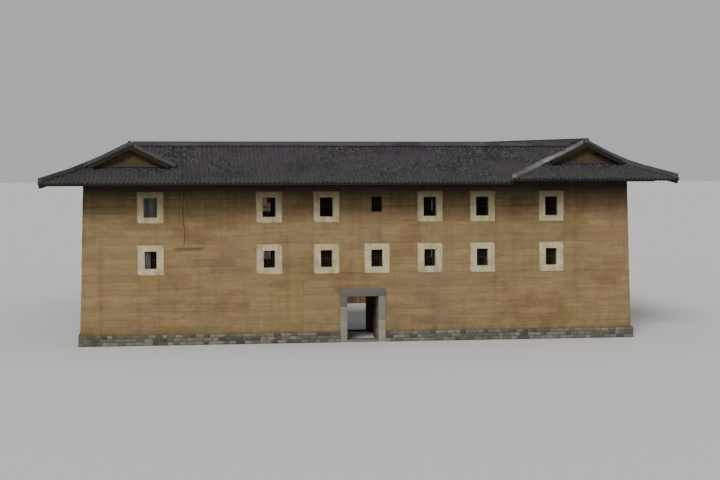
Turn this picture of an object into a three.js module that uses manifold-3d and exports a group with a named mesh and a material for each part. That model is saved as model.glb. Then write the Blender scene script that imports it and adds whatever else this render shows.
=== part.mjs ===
// A rectangular tulou: rammed earth walls on a stone footing around a court, timber galleries, and a
// tiled ring roof with a small gable over each end of the two gable wings. Millimetres, +Z up, origin
// on the ground under the middle of the roof. The front, with the gate, faces -Y.
import * as THREE from "three";
import { mergeVertices } from "three/addons/utils/BufferGeometryUtils.js";
import Module from "manifold-3d";

const wasm = await Module();
wasm.setup();

// Driving dimensions
const frontLength = 31600;
const sideLength = 26600;
const wallThickness = 1200;
const wallBatter = 250;
const footingHeight = 600;
const footingLedge = 80;
const gap = 0.3;

// Storeys: top of each built floor, and what carries it
const storeys = ["ground", "second", "third"];
const floorLevels = [3400, 6250];
const floorDepth = 200;
const deckDepth = 150;

// Roof: every slope has the same curved profile, from eave to ridge
const eaveOverhang = 2050;
const roofReach = 4850;
const eaveTop = 9150;
const roofDepth = 180;
const profileSteps = [
  [1650, 0.33],
  [3300, 0.42],
  [roofReach, 0.5],
];
const vergeOverhang = 450;
const raisedBy = roofDepth + gap;

// Timber work round the court
const roomWallThickness = 100;
const galleryWidth = 1200;
const postSize = 200;
const innerOverhang = 1200;
const railSize = 70;
const railHeight = 950;

// Gate in the middle of the front
const gateWidth = 1800;
const gateHeight = 2600;
const jambWidth = 400;
const lintelHeight = 450;
const thresholdHeight = 120;
const frameProud = 50;
const leafThickness = 80;

// Windows of the two upper storeys: width, height, and sill above the floor
const upperWindow = { width: 760, height: 1120, sill: 860 };
const middleWindow = { width: 680, height: 1000, sill: 850 };
const smallWindow = { width: 600, height: 860, sill: 1130 };
const frontWindowsFromLeft = [3900, 10500, 13740, 16620, 19680, 22740, 26800];
const smallWindowPlace = 16620;
const cornerWindowInset = 3900;
const sideWindowCount = 5;

// Doors from the rooms to the gallery
const doorWidth = 900;
const doorHeight = 1950;
const doorSill = 100;

// Ridges
const ridgeHalfWidth = 160;
const ridgeHeight = 170;
const hipWidth = 240;
const hipHeight = 170;
const hipStart = 100;
const innerVergeFoot = 2450;
const gableWallThickness = 300;
const gableFootInset = 350;

// What follows from them
const halfFront = frontLength / 2;
const halfSide = sideLength / 2;
const gablePlane = eaveOverhang + wallBatter;
const profileRise = (d) => {
  let rise = 0;
  let from = 0;
  for (const [to, pitch] of profileSteps) {
    rise += Math.max(0, Math.min(d, to) - from) * pitch;
    from = to;
  }
  return rise;
};
const roofTop = (d) => eaveTop + profileRise(d);
const soffit = (d) => roofTop(d) - roofDepth;
const wallTop = soffit(gablePlane) - gap;
const profileStops = [0, ...profileSteps.map(([to]) => to)];
const vergeFoot = 2750;

// Colours seen in the photo
const finish = (color, roughness) =>
  new THREE.MeshStandardMaterial({ color, roughness, metalness: 0 });
const earth = finish(0x8a6f47, 0.95);
const rubble = finish(0x77726a, 0.9);
const granite = finish(0x8b8880, 0.8);
const tile = finish(0x3d3a3b, 0.85);
const lime = finish(0x6d6a66, 0.9);
const timber = finish(0x5a4331, 0.8);

// Solids
function solidFrom(geometry) {
  const bare = (geometry.index ? geometry.toNonIndexed() : geometry).clone();
  bare.deleteAttribute("normal");
  bare.deleteAttribute("uv");
  const merged = mergeVertices(bare, 1e-3);
  return new wasm.Manifold(
    new wasm.Mesh({
      numProp: 3,
      vertProperties: merged.attributes.position.array,
      triVerts: new Uint32Array(merged.index.array),
    }),
  );
}

function geometryFrom(solid) {
  const mesh = solid.getMesh();
  return new THREE.BufferGeometry()
    .setAttribute("position", new THREE.BufferAttribute(mesh.vertProperties, 3))
    .setIndex(new THREE.BufferAttribute(mesh.triVerts, 1));
}

const shapeOf = (points) =>
  new THREE.Shape(points.map(([x, y]) => new THREE.Vector2(x, y)));

const extruded = (shape, depth) =>
  new THREE.ExtrudeGeometry(shape, { depth, bevelEnabled: false });

// A section in v and z, run along u from one place to another
function alongWing(section, from, to) {
  const turn = new THREE.Matrix4().makeBasis(
    new THREE.Vector3(0, 1, 0),
    new THREE.Vector3(0, 0, 1),
    new THREE.Vector3(1, 0, 0),
  );
  return extruded(shapeOf(section), to - from)
    .applyMatrix4(turn)
    .translate(from, 0, 0);
}

// An elevation in u and z, run across the wing from one v to another
function acrossWing(shape, from, to) {
  return extruded(shape, to - from)
    .rotateX(Math.PI / 2)
    .translate(0, to, 0);
}

// A plan in u and v, run upwards
const upwards = (plan, from, to) =>
  extruded(shapeOf(plan), to - from).translate(0, 0, from);

const block = ([u0, u1], [v0, v1], [z0, z1]) =>
  new THREE.BoxGeometry(u1 - u0, v1 - v0, z1 - z0).translate(
    (u0 + u1) / 2,
    (v0 + v1) / 2,
    (z0 + z1) / 2,
  );

const joined = (geometries) =>
  geometryFrom(geometries.map(solidFrom).reduce((sum, part) => sum.add(part)));

const common = (a, b) =>
  geometryFrom(solidFrom(a).intersect(solidFrom(b)));

const cut = (geometry, holes) =>
  geometryFrom(holes.map(solidFrom).reduce((rest, hole) => rest.subtract(hole), solidFrom(geometry)));

// The same outline with every edge moved inwards, so that neighbours don't touch
function inset(plan, by) {
  const area = plan.reduce((sum, [x, y], i) => {
    const [nextX, nextY] = plan[(i + 1) % plan.length];
    return sum + x * nextY - nextX * y;
  }, 0);
  const points = area > 0 ? plan : [...plan].reverse();
  const edges = points.map(([x, y], i) => {
    const [nextX, nextY] = points[(i + 1) % points.length];
    const length = Math.hypot(nextX - x, nextY - y);
    const [nx, ny] = [-(nextY - y) / length, (nextX - x) / length];
    return { nx, ny, c: nx * x + ny * y + by };
  });
  return edges.map((edge, i) => {
    const before = edges[(i + edges.length - 1) % edges.length];
    const cross = before.nx * edge.ny - before.ny * edge.nx;
    return [
      (before.c * edge.ny - edge.c * before.ny) / cross,
      (before.nx * edge.c - edge.nx * before.c) / cross,
    ];
  });
}

const root = new THREE.Group();

function wingGroup(quarterTurns) {
  const group = new THREE.Group();
  group.rotation.z = (quarterTurns * Math.PI) / 2;
  root.add(group);
  return group;
}

// In each group u runs along the wing and its outer side faces -v
const front = { group: wingGroup(0), name: "front", half: halfFront, across: halfSide, lift: 0 };
const right = { group: wingGroup(1), name: "right", half: halfSide, across: halfFront, lift: raisedBy };
const back = { group: wingGroup(2), name: "back", half: halfFront, across: halfSide, lift: 0 };
const left = { group: wingGroup(3), name: "left", half: halfSide, across: halfFront, lift: 0 };
const wings = [front, right, back, left];

function place(group, name, geometry, material) {
  const mesh = new THREE.Mesh(geometry, material);
  mesh.name = name;
  group.add(mesh);
}

// Places across and along a wing
const outerEave = (wing) => -(wing.across + eaveOverhang);
const ridgeLine = (wing) => outerEave(wing) + roofReach;
const innerEave = (wing) => outerEave(wing) + 2 * roofReach;
const eaveEnd = (wing) => wing.half + eaveOverhang;
const ridgeEnd = (wing) => eaveEnd(wing) - roofReach;
const courtEnd = (wing) => eaveEnd(wing) - 2 * roofReach;
const wallInside = (wing) => -(wing.across - wallThickness);
const postFace = (wing) => innerEave(wing) - innerOverhang;
const roomWallFace = (wing) => postFace(wing) - postSize - galleryWidth;
const roomWallBack = (wing) => roomWallFace(wing) - roomWallThickness;

// Footing: one ring, open at the gate
const gateSide = gateWidth / 2 + jambWidth;

function footing() {
  const depth = [0, footingHeight];
  const [u, v] = [halfFront, halfSide].map((half) => half + footingLedge);
  const [innerU, innerV] = [halfFront, halfSide].map((half) => half - wallThickness);
  const through = [-gap, footingHeight + gap];
  const whole = block([-u, u], [-v, v], depth);
  const rooms = block([-innerU, innerU], [-innerV, innerV], through);
  const gateGap = block([-gateSide, gateSide], [-v - gap, -innerV + gap], through);
  place(root, "footing", cut(whole, [rooms, gateGap]), rubble);
}
footing();

// Rammed earth walls
const batterAt = (z) =>
  (wallBatter * (z - footingHeight)) / (wallTop - footingHeight);

function windowHole(wing, place, level, size) {
  const low = level + size.sill;
  const run = [place - size.width / 2, place + size.width / 2];
  const depth = [-wing.across - gap, wallInside(wing) + gap];
  return block(run, depth, [low, low + size.height]);
}

function windowHoles(wing, places, from, to) {
  return places
    .filter((place) => place > from && place < to)
    .flatMap((place) => [
      windowHole(wing, place, floorLevels[0], middleWindow),
      windowHole(wing, place, floorLevels[1], place === smallPlace ? smallWindow : upperWindow),
    ]);
}

const smallPlace = smallWindowPlace - halfFront;
const frontWindows = frontWindowsFromLeft.map((fromLeft) => fromLeft - halfFront);
const backWindows = frontWindows.map((place) => (place === smallPlace ? place + 1 : place));
const sideWindowPitch = (sideLength - 2 * cornerWindowInset) / (sideWindowCount - 1);
const sideWindows = Array.from(
  { length: sideWindowCount },
  (_, i) => cornerWindowInset - halfSide + i * sideWindowPitch,
);

function earthWall(wing, name, outline, places) {
  const us = outline.map(([u]) => u);
  const run = [Math.min(...us), Math.max(...us)];
  const top = Math.max(...outline.map(([, z]) => z));
  const outside = -wing.across;
  const section = [
    [outside, footingHeight],
    [wallInside(wing), footingHeight],
    [wallInside(wing), top],
    [outside + batterAt(top), top],
  ];
  const elevation = acrossWing(shapeOf(outline), outside - gap, wallInside(wing) + gap);
  const whole = common(elevation, alongWing(section, ...run));
  place(wing.group, name, cut(whole, windowHoles(wing, places, ...run)), earth);
}

// The end of a long wall under the raised wing stands higher, towards +u on the front
const stepPlace = courtEnd(front) + gablePlane + 550;
const raisedTop = wallTop + raisedBy;
const lowEnd = [
  [-halfFront + wallBatter, wallTop],
  [-halfFront, footingHeight],
];
const highEnd = [
  [halfFront, footingHeight],
  [halfFront - batterAt(raisedTop), raisedTop],
  [stepPlace, raisedTop],
  [stepPlace, wallTop],
];
const mirrored = (outline) => outline.map(([u, z]) => [-u, z]).reverse();

const gateTop = gateHeight + lintelHeight;
earthWall(
  front,
  "front_wall_left",
  [...lowEnd, [-gateSide, footingHeight], [-gateSide, wallTop]],
  frontWindows,
);
earthWall(
  front,
  "front_wall_right",
  [[gateSide, wallTop], [gateSide, footingHeight], ...highEnd],
  frontWindows,
);
earthWall(
  front,
  "front_wall_over_gate",
  [
    [-gateSide, gateTop],
    [gateSide, gateTop],
    [gateSide, wallTop],
    [-gateSide, wallTop],
  ],
  frontWindows,
);
const backParts = [
  ["back_wall_right", mirrored([[0, wallTop], [0, footingHeight], ...highEnd])],
  ["back_wall_left", mirrored([...lowEnd, [0, footingHeight], [0, wallTop]])],
];
for (const [name, outline] of backParts) {
  earthWall(back, name, outline, backWindows);
}
for (const wing of [left, right]) {
  const end = wing.half - wallThickness;
  const top = wallTop + wing.lift;
  const outline = [
    [-end, footingHeight],
    [end, footingHeight],
    [end, top],
    [-end, top],
  ];
  earthWall(wing, `${wing.name}_wall`, outline, sideWindows);
}

// Gate: a dressed stone frame, and two plank leaves that stand open
function gate() {
  const outside = -(halfSide + frameProud);
  const inside = wallInside(front);
  const halfGate = gateWidth / 2;
  const frame = joined([
    block([-gateSide, -halfGate], [outside, inside], [0, gateTop]),
    block([halfGate, gateSide], [outside, inside], [0, gateTop]),
    block([-gateSide, gateSide], [outside, inside], [gateHeight, gateTop]),
    block([-gateSide, gateSide], [outside, inside], [0, thresholdHeight]),
  ]);
  place(front.group, "gate_frame", frame, granite);
  for (const [name, side] of [["gate_leaf_left", -1], ["gate_leaf_right", 1]]) {
    const middle = side * (halfGate + leafThickness / 2);
    const leaf = block(
      [middle - leafThickness / 2, middle + leafThickness / 2],
      [inside, inside + halfGate],
      [thresholdHeight / 2, gateHeight],
    );
    place(front.group, name, leaf, timber);
  }
}
gate();

// Floors of the rooms, one ring for each upper storey
function roomFloor(name, level) {
  const depth = [level - floorDepth, level];
  const [u, v] = [wallInside(right), wallInside(back)].map((inside) => -inside);
  const [courtU, courtV] = [roomWallBack(right), roomWallBack(back)].map((inside) => -inside);
  const whole = block([-u, u], [-v, v], depth);
  const court = block([-courtU, courtU], [-courtV, courtV], [depth[0] - gap, depth[1] + gap]);
  place(root, name, cut(whole, [court]), timber);
}
roomFloor("second_floor", floorLevels[0]);
roomFloor("third_floor", floorLevels[1]);

// Plank walls between the rooms and the galleries
function roomWall(wing, half, doorPlaces, passage) {
  const top = soffit(innerEave(wing) - roomWallFace(wing)) - gap + wing.lift;
  const depth = [roomWallBack(wing) - gap, roomWallFace(wing) + gap];
  const hole = (middle, low, width, height) =>
    block([middle - width / 2, middle + width / 2], depth, [low, low + height]);
  const holes = [0, ...floorLevels].flatMap((level) =>
    doorPlaces
      .filter((door) => !(passage && level === 0 && door === 0))
      .map((door) => hole(door, level + doorSill, doorWidth, doorHeight)),
  );
  if (passage) holes.push(hole(0, doorSill, gateWidth, gateHeight));
  const whole = block([-half, half], [roomWallBack(wing), roomWallFace(wing)], [0, top]);
  place(wing.group, `${wing.name}_room_wall`, cut(whole, holes), timber);
}

const longBay = (2 * -(postFace(left) - postSize / 2)) / 7;
const shortBay = (2 * -(postFace(front) - postSize / 2)) / 5;
const longDoors = [-2 * longBay, 2 * longBay];
const shortDoors = [-shortBay, shortBay];
roomWall(front, -roomWallBack(left), longDoors, true);
roomWall(back, -roomWallBack(left), longDoors, false);
roomWall(left, -roomWallFace(front), shortDoors, false);
roomWall(right, -roomWallFace(front), shortDoors, false);

// Galleries, one frame a storey: posts, rail panel, beam, and the deck that lies on them
function gallery(wing, deckHalf, postPlaces, beamHalf) {
  const outer = postFace(wing);
  const postBand = [outer - postSize, outer];
  const railBand = [outer - (postSize + railSize) / 2, outer - (postSize - railSize) / 2];
  const beamRun = [-beamHalf, beamHalf];
  const plateTop = soffit(innerOverhang) - gap + wing.lift;
  const tops = [...floorLevels, plateTop];
  storeys.forEach((storey, i) => {
    const foot = i === 0 ? 0 : floorLevels[i - 1];
    const underDeck = i < 2 ? tops[i] - deckDepth : plateTop;
    const pieces = postPlaces.map((place) =>
      block([place - postSize / 2, place + postSize / 2], postBand, [foot, underDeck]),
    );
    pieces.push(block(beamRun, postBand, [underDeck - postSize, underDeck]));
    if (i < 2) {
      pieces.push(block([-deckHalf, deckHalf], [roomWallFace(wing), outer], [underDeck, tops[i]]));
    }
    if (i > 0) pieces.push(block(beamRun, railBand, [foot, foot + railHeight]));
    place(wing.group, `${wing.name}_gallery_${storey}`, joined(pieces), timber);
  });
}

const longPosts = Array.from({ length: 8 }, (_, i) => (i - 3.5) * longBay);
const shortPosts = Array.from({ length: 4 }, (_, i) => (i - 1.5) * shortBay);
for (const wing of [front, back]) {
  gallery(wing, -roomWallFace(left), longPosts, -(postFace(left) - postSize));
}
for (const wing of [left, right]) {
  gallery(wing, -postFace(front), shortPosts, -postFace(front));
}

// Roof pieces: the folded profile run along the wing, cut to a plan
function roofPiece(wing, name, plan) {
  const middle = ridgeLine(wing);
  const outer = profileStops.map((d) => [outerEave(wing) + d, d]);
  const inner = outer.slice(0, -1).reverse().map(([v, d]) => [2 * middle - v, d]);
  const across = [...outer, ...inner];
  const upper = across.map(([v, d]) => [v, roofTop(d) + wing.lift]);
  const lower = across.map(([v, d]) => [v, soffit(d) + wing.lift]).reverse();
  const us = plan.map(([u]) => u);
  const slab = alongWing([...upper, ...lower], Math.min(...us), Math.max(...us));
  const cutter = upwards(inset(plan, gap / 2), eaveTop - roofDepth - 100, eaveTop + 4000);
  place(wing.group, name, common(slab, cutter), tile);
}

const ends = [-1, 1];

// The inner slope of a wing lies between the two valleys of the court
const courtSlopePlan = (wing, tipU, tipV) => [
  [-courtEnd(wing), innerEave(wing)],
  [courtEnd(wing), innerEave(wing)],
  [tipU, ridgeLine(wing) + tipV],
  [tipU, ridgeLine(wing)],
  [-tipU, ridgeLine(wing)],
  [-tipU, ridgeLine(wing) + tipV],
];

const plainCourtSlope = (wing) => [
  [-courtEnd(wing), innerEave(wing)],
  [courtEnd(wing), innerEave(wing)],
  [ridgeEnd(wing), ridgeLine(wing)],
  [-ridgeEnd(wing), ridgeLine(wing)],
];

// Gable wings: the roof folds over the ridge at both gables
for (const wing of [left, right]) {
  const end = eaveEnd(wing);
  const verge = end - gablePlane + vergeOverhang;
  const outerHalf = [
    [end, outerEave(wing)],
    [end - gablePlane, outerEave(wing) + gablePlane],
    [end - gablePlane, outerEave(wing) + vergeFoot],
    [verge, outerEave(wing) + vergeFoot],
    [verge, innerEave(wing) - vergeFoot],
    [end - gablePlane, innerEave(wing) - vergeFoot],
    [end - gablePlane, innerEave(wing) - gablePlane],
    [ridgeEnd(wing), ridgeLine(wing)],
  ];
  roofPiece(wing, `${wing.name}_roof`, [...outerHalf, ...mirrored(outerHalf)]);
  roofPiece(wing, `${wing.name}_inner_slope`, plainCourtSlope(wing));
}

// The end of a gable wing towards +u is at the back on the right wing and at the front on the left one
function gableName(wing, side) {
  const atFront = wing === left ? side > 0 : side < 0;
  return `${atFront ? "front" : "back"}_${wing.name}_gable`;
}

// Through wings: the outer slope runs on as a skirt under the left gable, and stops at the raised wing
for (const [wing, side] of [[front, 1], [back, -1]]) {
  const eave = outerEave(wing);
  const tip = ridgeHalfWidth + 10;
  const tipEnd = ridgeEnd(wing) - tip;
  const outerPlan = [
    [-eaveEnd(wing), eave],
    [courtEnd(wing), eave],
    [tipEnd, ridgeLine(wing) - tip],
    [tipEnd, ridgeLine(wing)],
    [-tipEnd, ridgeLine(wing)],
    [-tipEnd, ridgeLine(wing) - tip],
    [-(courtEnd(wing) + gablePlane), eave + gablePlane],
    [-(eaveEnd(wing) - gablePlane), eave + gablePlane],
  ];
  roofPiece(wing, `${wing.name}_outer_slope`, outerPlan.map(([u, v]) => [side * u, v]));
  roofPiece(wing, `${wing.name}_inner_slope`, courtSlopePlan(wing, tipEnd, tip));
  const skirtPlan = [
    [courtEnd(wing), eave],
    [eaveEnd(wing), eave],
    [eaveEnd(wing) - gablePlane, eave + gablePlane],
    [courtEnd(wing) + gablePlane, eave + gablePlane],
  ];
  const raised = { ...wing, lift: raisedBy };
  roofPiece(raised, `${wing.name}_right_skirt`, skirtPlan.map(([u, v]) => [side * u, v]));
}

// Gable walls stand on the earth walls, under the ends of the gable wings
for (const wing of [left, right]) {
  const foot = gablePlane + gableFootInset;
  const half = [
    [foot, wallTop],
    [foot, soffit(foot) - gap],
    ...profileStops.filter((d) => d > foot).map((d) => [d, soffit(d) - gap]),
  ].map(([d, z]) => [outerEave(wing) + d, z + wing.lift]);
  const middle = ridgeLine(wing);
  const section = [...half, ...half.slice(0, -1).reverse().map(([v, z]) => [2 * middle - v, z])];
  for (const side of ends) {
    const near = eaveEnd(wing) - gablePlane - gap;
    const run = [side * near, side * (near - gableWallThickness)].sort((a, b) => a - b);
    place(wing.group, `${gableName(wing, side)}_wall`, alongWing(section, ...run), earth);
  }
}

// Ridges
function ridgeBody(wing, from, to) {
  const middle = ridgeLine(wing);
  const crown = roofTop(roofReach) + wing.lift + gap;
  const drop = ridgeHalfWidth * profileSteps.at(-1)[1];
  const section = [
    [middle - ridgeHalfWidth, crown - drop],
    [middle, crown],
    [middle + ridgeHalfWidth, crown - drop],
    [middle + ridgeHalfWidth, crown + ridgeHeight],
    [middle - ridgeHalfWidth, crown + ridgeHeight],
  ];
  return alongWing(section, from, to);
}

// A bar of mortar and tile that lies on the slope, from d = from to d = to
function barSide(from, to, stretch, lift) {
  const stops = [from, ...profileStops.filter((d) => d > from && d < to), to];
  const lower = stops.map((d) => [d * stretch, roofTop(d) + gap + lift]);
  const upper = lower.map(([along, z]) => [along, z + hipHeight]).reverse();
  return shapeOf([...lower, ...upper]);
}

// Down the slope over a gable wall, on the outer or the inner side of the ridge
function vergeRidge(wing, end, inner) {
  const from = inner && wing.lift === 0 ? innerVergeFoot : gablePlane - hipWidth / 2;
  const bar = extruded(barSide(from, roofReach - ridgeHalfWidth / 2, 1, wing.lift), hipWidth);
  const over = end * (eaveEnd(wing) - gablePlane);
  bar.rotateX(Math.PI / 2).rotateZ(Math.PI / 2);
  if (inner) return bar.rotateZ(Math.PI).translate(over + hipWidth / 2, innerEave(wing), 0);
  return bar.translate(over - hipWidth / 2, outerEave(wing), 0);
}

// Up the corner from the eave to the foot of the gable
function hip(wing, end, inner) {
  const bar = extruded(barSide(hipStart, gablePlane, Math.SQRT2, wing.lift), hipWidth);
  bar.rotateX(Math.PI / 2).translate(0, hipWidth / 2, 0);
  const corner = inner ? innerEave(wing) : outerEave(wing);
  const towardsRidge = inner ? -1 : 1;
  bar.rotateZ(Math.atan2(towardsRidge, -end)).translate(end * eaveEnd(wing), corner, 0);
  return bar;
}

// A gable wing's ridges are one body: along the top, down over the gables and on down the hips
for (const wing of [left, right]) {
  const verge = eaveEnd(wing) - gablePlane + vergeOverhang;
  const pieces = [ridgeBody(wing, -verge, verge)];
  for (const end of ends) {
    pieces.push(vergeRidge(wing, end, false), vergeRidge(wing, end, true), hip(wing, end, false));
    if (wing.lift > 0) pieces.push(hip(wing, end, true));
  }
  place(wing.group, `${wing.name}_ridge`, joined(pieces), lime);
}
const atLeftRidge = -(ridgeEnd(front) - ridgeHalfWidth - gap);
const atRaisedWing = ridgeEnd(front) - ridgeHalfWidth - 10;
place(front.group, "front_ridge", ridgeBody(front, atLeftRidge, atRaisedWing), lime);
place(back.group, "back_ridge", ridgeBody(back, -atRaisedWing, -atLeftRidge), lime);

export default root;
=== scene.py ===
import bpy
import math
import random
from functools import partial
import numpy as np
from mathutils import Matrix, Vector, noise


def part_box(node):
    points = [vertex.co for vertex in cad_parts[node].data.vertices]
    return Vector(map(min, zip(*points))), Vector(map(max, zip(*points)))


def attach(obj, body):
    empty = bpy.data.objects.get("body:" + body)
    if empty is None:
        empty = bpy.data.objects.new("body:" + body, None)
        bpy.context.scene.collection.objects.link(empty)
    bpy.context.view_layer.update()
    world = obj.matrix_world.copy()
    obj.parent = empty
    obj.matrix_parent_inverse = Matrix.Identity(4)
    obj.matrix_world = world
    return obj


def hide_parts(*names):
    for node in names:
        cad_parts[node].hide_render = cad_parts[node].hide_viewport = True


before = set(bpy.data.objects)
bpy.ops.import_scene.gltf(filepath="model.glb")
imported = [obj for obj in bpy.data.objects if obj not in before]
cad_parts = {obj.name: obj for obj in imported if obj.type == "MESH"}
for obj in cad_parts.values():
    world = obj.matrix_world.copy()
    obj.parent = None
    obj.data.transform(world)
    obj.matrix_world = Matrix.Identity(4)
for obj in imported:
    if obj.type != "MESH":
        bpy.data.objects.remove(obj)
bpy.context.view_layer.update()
noise.seed_set(3)               # noise_vector would differ from run to run without it
print("frame loaded")

# The house, in metres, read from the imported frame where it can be

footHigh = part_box("footing")[1]
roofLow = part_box("front_outer_slope")[0]

house = {
    "footingLedge": 0.08,
    "footingTop": footHigh.z,
    "wallThickness": 1.2,
    "batter": 0.25,             # how far the walls lean in, up to the eave
    "overhang": 2.05,
    "roofReach": 4.85,          # eave to ridge, in plan
    "roofDepth": 0.18,
    "gable": 2.3,               # eave to gable wall, in plan
    "vergeFoot": 2.75,
    "vergeOverhang": 0.45,
    "lift": 0.1803,             # how much higher the right wing's roof is
    "floors": (3.4, 6.25),
    "postFace": 1.2,            # inner eave to the front of the posts, in plan
    "postSize": 0.2,
    "galleryWidth": 1.2,
    "roomWall": 0.1,
}
pitchStops = [0, 1.65, 3.3, 4.85]               # the slope grows steeper at each, in plan from the eave
pitchHeights = [0, 0.5445, 1.2375, 2.0125]
reach, gable = house["roofReach"], house["gable"]
eaveTop = roofLow.z + house["roofDepth"]
halfFront, halfSide = footHigh.x - house["footingLedge"], footHigh.y - house["footingLedge"]


# heights of the roof's upper and lower face, at a distance from the eave
def roofTop(d, lift=0):
    return eaveTop + lift + np.interp(d, pitchStops, pitchHeights)


def roofUnder(d, lift=0):
    return roofTop(d, lift) - house["roofDepth"]


def foldsFrom(low, high):
    return [low, *(d for d in pitchStops if low < d < high), high]


# v of an eave, and the way up from it
def edgeOf(wing, inner):
    return (wing["innerEave"], -1) if inner else (wing["outerEave"], 1)


# points up a slope, folded with it: side * start is u at the eave, outwards how far u moves with each metre
def risingLine(wing, inner, side, start, outwards, low, high, sink=0):
    v, inwards = edgeOf(wing, inner)
    return [(side * (start + outwards * d), v + inwards * d, roofTop(d, wing["lift"]) - sink)
            for d in foldsFrom(low, high)]


# turns: quarter turns from the front; half: half its length; across: how far out its wall stands
wings = {
    "front": {"turns": 0, "half": halfFront, "across": halfSide, "lift": 0},
    "right": {"turns": 1, "half": halfSide, "across": halfFront, "lift": house["lift"]},
    "back": {"turns": 2, "half": halfFront, "across": halfSide, "lift": 0},
    "left": {"turns": 3, "half": halfSide, "across": halfFront, "lift": 0},
}
for name, wing in wings.items():
    wing["long"] = name in ("front", "back")
    wing["eaveEnd"] = wing["half"] + house["overhang"]
    wing["outerEave"] = -(wing["across"] + house["overhang"])
    wing["ridge"] = wing["outerEave"] + reach
    wing["innerEave"] = wing["outerEave"] + 2 * reach
    wing["courtEnd"] = wing["eaveEnd"] - 2 * reach
    wing["postFace"] = wing["innerEave"] - house["postFace"]
    wing["roomFace"] = wing["postFace"] - house["postSize"] - house["galleryWidth"]
    wing["roomBack"] = wing["roomFace"] - house["roomWall"]
    wing["verge"] = wing["eaveEnd"] - gable + house["vergeOverhang"]

# half lengths round the court: the long wings run past the short ones, and own the corner posts
for wing in wings.values():
    other = wings["left" if wing["long"] else "front"]
    bays, posts = (7, 8) if wing["long"] else (5, 4)
    wing["bay"] = -2 * (other["postFace"] + house["postSize"] / 2) / bays
    wing["posts"] = [(i - (posts - 1) / 2) * wing["bay"] for i in range(posts)]
    wing["deckEnd"] = -other["roomFace" if wing["long"] else "postFace"]
    wing["beamEnd"] = house["postSize"] * wing["long"] - other["postFace"]
    wing["roomEnd"] = -other["roomBack" if wing["long"] else "roomFace"]
    wing["floorEnd"] = other["across"] - house["wallThickness"] if wing["long"] else -other["roomBack"]


# Modelling helpers

# selects these pieces alone, or nothing
def pick(*pieces):
    bpy.ops.object.select_all(action="DESELECT")
    for piece in pieces:
        piece.select_set(True)
    if pieces:
        bpy.context.view_layer.objects.active = pieces[0]


def openMesh(piece, action="SELECT"):
    pick(piece)
    bpy.ops.object.mode_set(mode="EDIT")
    bpy.ops.mesh.select_all(action=action)


def closeMesh():
    bpy.ops.object.mode_set(mode="OBJECT")


def editMesh(piece, operator, **settings):
    openMesh(piece)
    operator(**settings)
    closeMesh()


# in edit mode, with only the chosen faces selected
def openFaces(piece, chosen):
    openMesh(piece, "DESELECT")
    bpy.ops.mesh.select_mode(type="FACE")
    closeMesh()
    piece.data.polygons.foreach_set("select", chosen)
    bpy.ops.object.mode_set(mode="EDIT")


def settle(piece):
    pick(piece)
    bpy.ops.object.transform_apply(location=True, rotation=True, scale=True)
    return piece


def modify(piece, kind, **settings):
    pick(piece)
    modifier = piece.modifiers.new(kind, kind)
    for key, value in settings.items():
        setattr(modifier, key, value)
    bpy.ops.object.modifier_apply(modifier=modifier.name)
    return piece


def softenEdges(piece, width, segments=1, angle=0.6):
    return modify(piece, "BEVEL", width=width, segments=segments, limit_method="ANGLE", angle_limit=angle)


def repeat(piece, count, step):
    return modify(piece, "ARRAY", use_relative_offset=False, use_constant_offset=True,
                  constant_offset_displace=step, count=count)


def cornersOf(piece):
    corners = np.empty(len(piece.data.vertices) * 3)
    piece.data.vertices.foreach_get("co", corners)
    return corners.reshape(-1, 3)


def moveCorners(piece, corners):
    piece.data.vertices.foreach_set("co", np.asarray(corners, float).ravel())
    piece.data.update()
    return piece


# a tone for each vertex, that the material reads to tell one board, stone or tile from the next
def paintTone(piece, tones):
    attribute = piece.data.attributes.get("tone") or piece.data.attributes.new("tone", "FLOAT", "POINT")
    values = np.full(len(piece.data.vertices), tones) if np.isscalar(tones) else tones
    attribute.data.foreach_set("value", np.asarray(values, np.float32))
    return piece


# each timber carries where it lies in its own log, x along the grain, whichever way it is laid later
def layGrain(piece):
    corners = cornersOf(piece)
    order = np.argsort(-np.ptp(corners, axis=0), kind="stable")
    attribute = piece.data.attributes.new("grain", "FLOAT_VECTOR", "POINT")
    attribute.data.foreach_set("vector", corners[:, order].astype(np.float32).ravel())
    return piece


def addBlock(name, low, high, soft=0, tone=None):
    pick()
    bpy.ops.mesh.primitive_cube_add(size=1, location=[(a + b) / 2 for a, b in zip(low, high)])
    block = bpy.context.object
    block.name = name
    block.scale = [b - a for a, b in zip(low, high)]
    layGrain(settle(block))
    if soft:
        softenEdges(block, soft)
    return block if tone is None else paintTone(block, tone)


def addLog(name, start, end, radius, tone):
    pick()
    axis = Vector(end) - Vector(start)
    middle = (Vector(start) + Vector(end)) / 2
    bpy.ops.mesh.primitive_cylinder_add(vertices=12, radius=radius, depth=axis.length, location=middle)
    log = bpy.context.object
    log.name = name
    log.rotation_euler = axis.to_track_quat("Z", "Y").to_euler()
    return paintTone(layGrain(settle(log)), tone)


def copyOf(piece, offset=(0, 0, 0), turn=0):
    twin = piece.copy()
    twin.data = piece.data.copy()
    bpy.context.collection.objects.link(twin)
    twin.location = offset
    twin.rotation_euler = (0, 0, turn)
    return settle(twin)


# copies of a piece joined in one mesh, each at its own place, size, turn about z, and tone
def scatter(piece, places, sizes=None, turns=None, tones=None):
    base = cornersOf(piece)
    repeat(piece, len(places), (0, 0, 0))
    corners = np.repeat(base[None], len(places), axis=0)
    if sizes is not None:
        corners *= np.asarray(sizes, float)[:, None, :]
    if turns is not None:
        c, s = np.cos(turns)[:, None], np.sin(turns)[:, None]
        x, y = corners[..., 0].copy(), corners[..., 1].copy()
        corners[..., 0], corners[..., 1] = x * c - y * s, x * s + y * c
    corners += np.asarray(places, float)[:, None, :]
    moveCorners(piece, corners.reshape(-1, 3))
    if tones is not None:
        paintTone(piece, np.repeat(tones, len(base)))
    return piece


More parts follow.
